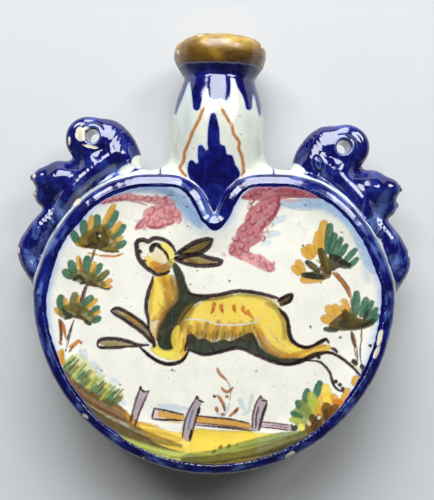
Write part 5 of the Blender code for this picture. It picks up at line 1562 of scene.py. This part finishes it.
def pale_floor():
    """The floor's plain pale finish, which turns into the backdrop far from the flask."""
    made = bpy.data.materials.new("floor_look")
    made.use_nodes = True
    tree = made.node_tree
    place = add(tree, "ShaderNodeTexCoord").outputs["Object"]
    tone = mix_of(tree, noise_of(tree, place, 60, 3), (0.58, 0.575, 0.55, 1), (0.61, 0.605, 0.58, 1))
    near = tree.nodes["Principled BSDF"]
    tree.links.new(tone, near.inputs["Base Color"])
    near.inputs["Roughness"].default_value = 0.85
    away = add(tree, "ShaderNodeVectorMath", {"operation": "LENGTH"}, i0=place).outputs["Value"]
    share = math_of(tree, "MULTIPLY", seen_of(tree), step_of(tree, away, 0.35, 1.6))
    far = add(tree, "ShaderNodeEmission", Color=BACKDROP)
    mixed = add(tree, "ShaderNodeMixShader", i0=share, i1=near.outputs[0], i2=far.outputs[0])
    tree.links.new(mixed.outputs[0], tree.nodes["Material Output"].inputs["Surface"])
    return made


# ---------------------------------------------------------------- the flask

FIGURE = ("scroll", "bust", "haunch", "front_wing", "back_wing")
STANDS_FOR = {
    "painted_face": (["front_plaque"], "painted_white_glaze"),
    "back_face_glaze": (["back_plaque"], "painted_white_glaze"),
    "front_rim_glaze": (["front_rim", "front_tongue"], "cobalt_glaze"),
    "back_rim_glaze": (["back_rim", "back_tongue"], "cobalt_glaze"),
    "body_glaze": (["left_upper_wall", "left_lower_wall", "right_upper_wall", "right_lower_wall"],
                   "painted_white_glaze"),
    "neck_glaze": (["neck"], "painted_white_glaze"),
    "lip_glaze": (["lip_ring"], "ochre_glaze"),
    "left_handle_glaze": (["left_" + part for part in FIGURE], "cobalt_glaze"),
    "right_handle_glaze": (["right_" + part for part in FIGURE], "cobalt_glaze")}

painting = painted_canvas()
skins = glazed_pieces()
skins["painted_face"] = painted_face_net()
for name, (stands_for, slot) in STANDS_FOR.items():
    points, faces, normals = skins[name]
    piece = make_mesh(name, points, faces, normals)
    keep(piece.data, carried(name, points, painting))
    piece.data.materials.append(glaze(name + "_look"))
    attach(piece, "root")
    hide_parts(*stands_for)


# ---------------------------------------------------------------- floor, light and camera

def floor():
    """The plain pale floor that the flask lies on."""
    mesh = bpy.data.meshes.new("floor")
    mesh.from_pydata([(-3, -3, 0), (3, -3, 0), (3, 3, 0), (-3, 3, 0)], [], [(0, 1, 2, 3)])
    made = bpy.data.objects.new("floor", mesh)
    bpy.context.scene.collection.objects.link(made)
    mesh.materials.append(pale_floor())


DAYLIGHT = (0.88, 0.92, 1.0)
# The soft lights as (name, place, width, height, power) in metres and watts
LIGHTS = (("window", (-0.054, 1.44, 1.08), 1.12, 1.6, 52.0),
          ("right_pane", (1.01, 0.90, 1.19), 0.50, 0.83, 13.5),
          ("left_pane", (-0.83, 1.06, 1.19), 0.36, 0.83, 10.4))


def soft_light(name, place, width, height, power):
    """A soft light that faces the flask."""
    lamp = bpy.data.lights.new(name, "AREA")
    lamp.shape, lamp.size, lamp.size_y, lamp.energy = "RECTANGLE", width, height, power
    lamp.color = DAYLIGHT
    made = bpy.data.objects.new(name, lamp)
    made.location = place
    made.rotation_euler = (-Vector(place)).to_track_quat("-Z", "Y").to_euler()
    bpy.context.scene.collection.objects.link(made)


floor()
for row in LIGHTS:
    soft_light(*row)
world = bpy.data.worlds.new("studio")
world.use_nodes = True
tone = mix_of(world.node_tree, seen_of(world.node_tree), WORLD_GREY, BACKDROP)
world.node_tree.links.new(tone, world.node_tree.nodes["Background"].inputs["Color"])
bpy.context.scene.world = world
bpy.context.scene.view_settings.view_transform = "Standard"

lens = bpy.data.cameras.new("camera")
lens.lens = 59.2
lens.sensor_width = 36
camera = bpy.data.objects.new("camera", lens)
camera.location = [length * 0.001 for length in CAMERA]
bpy.context.scene.collection.objects.link(camera)
bpy.context.scene.camera = camera
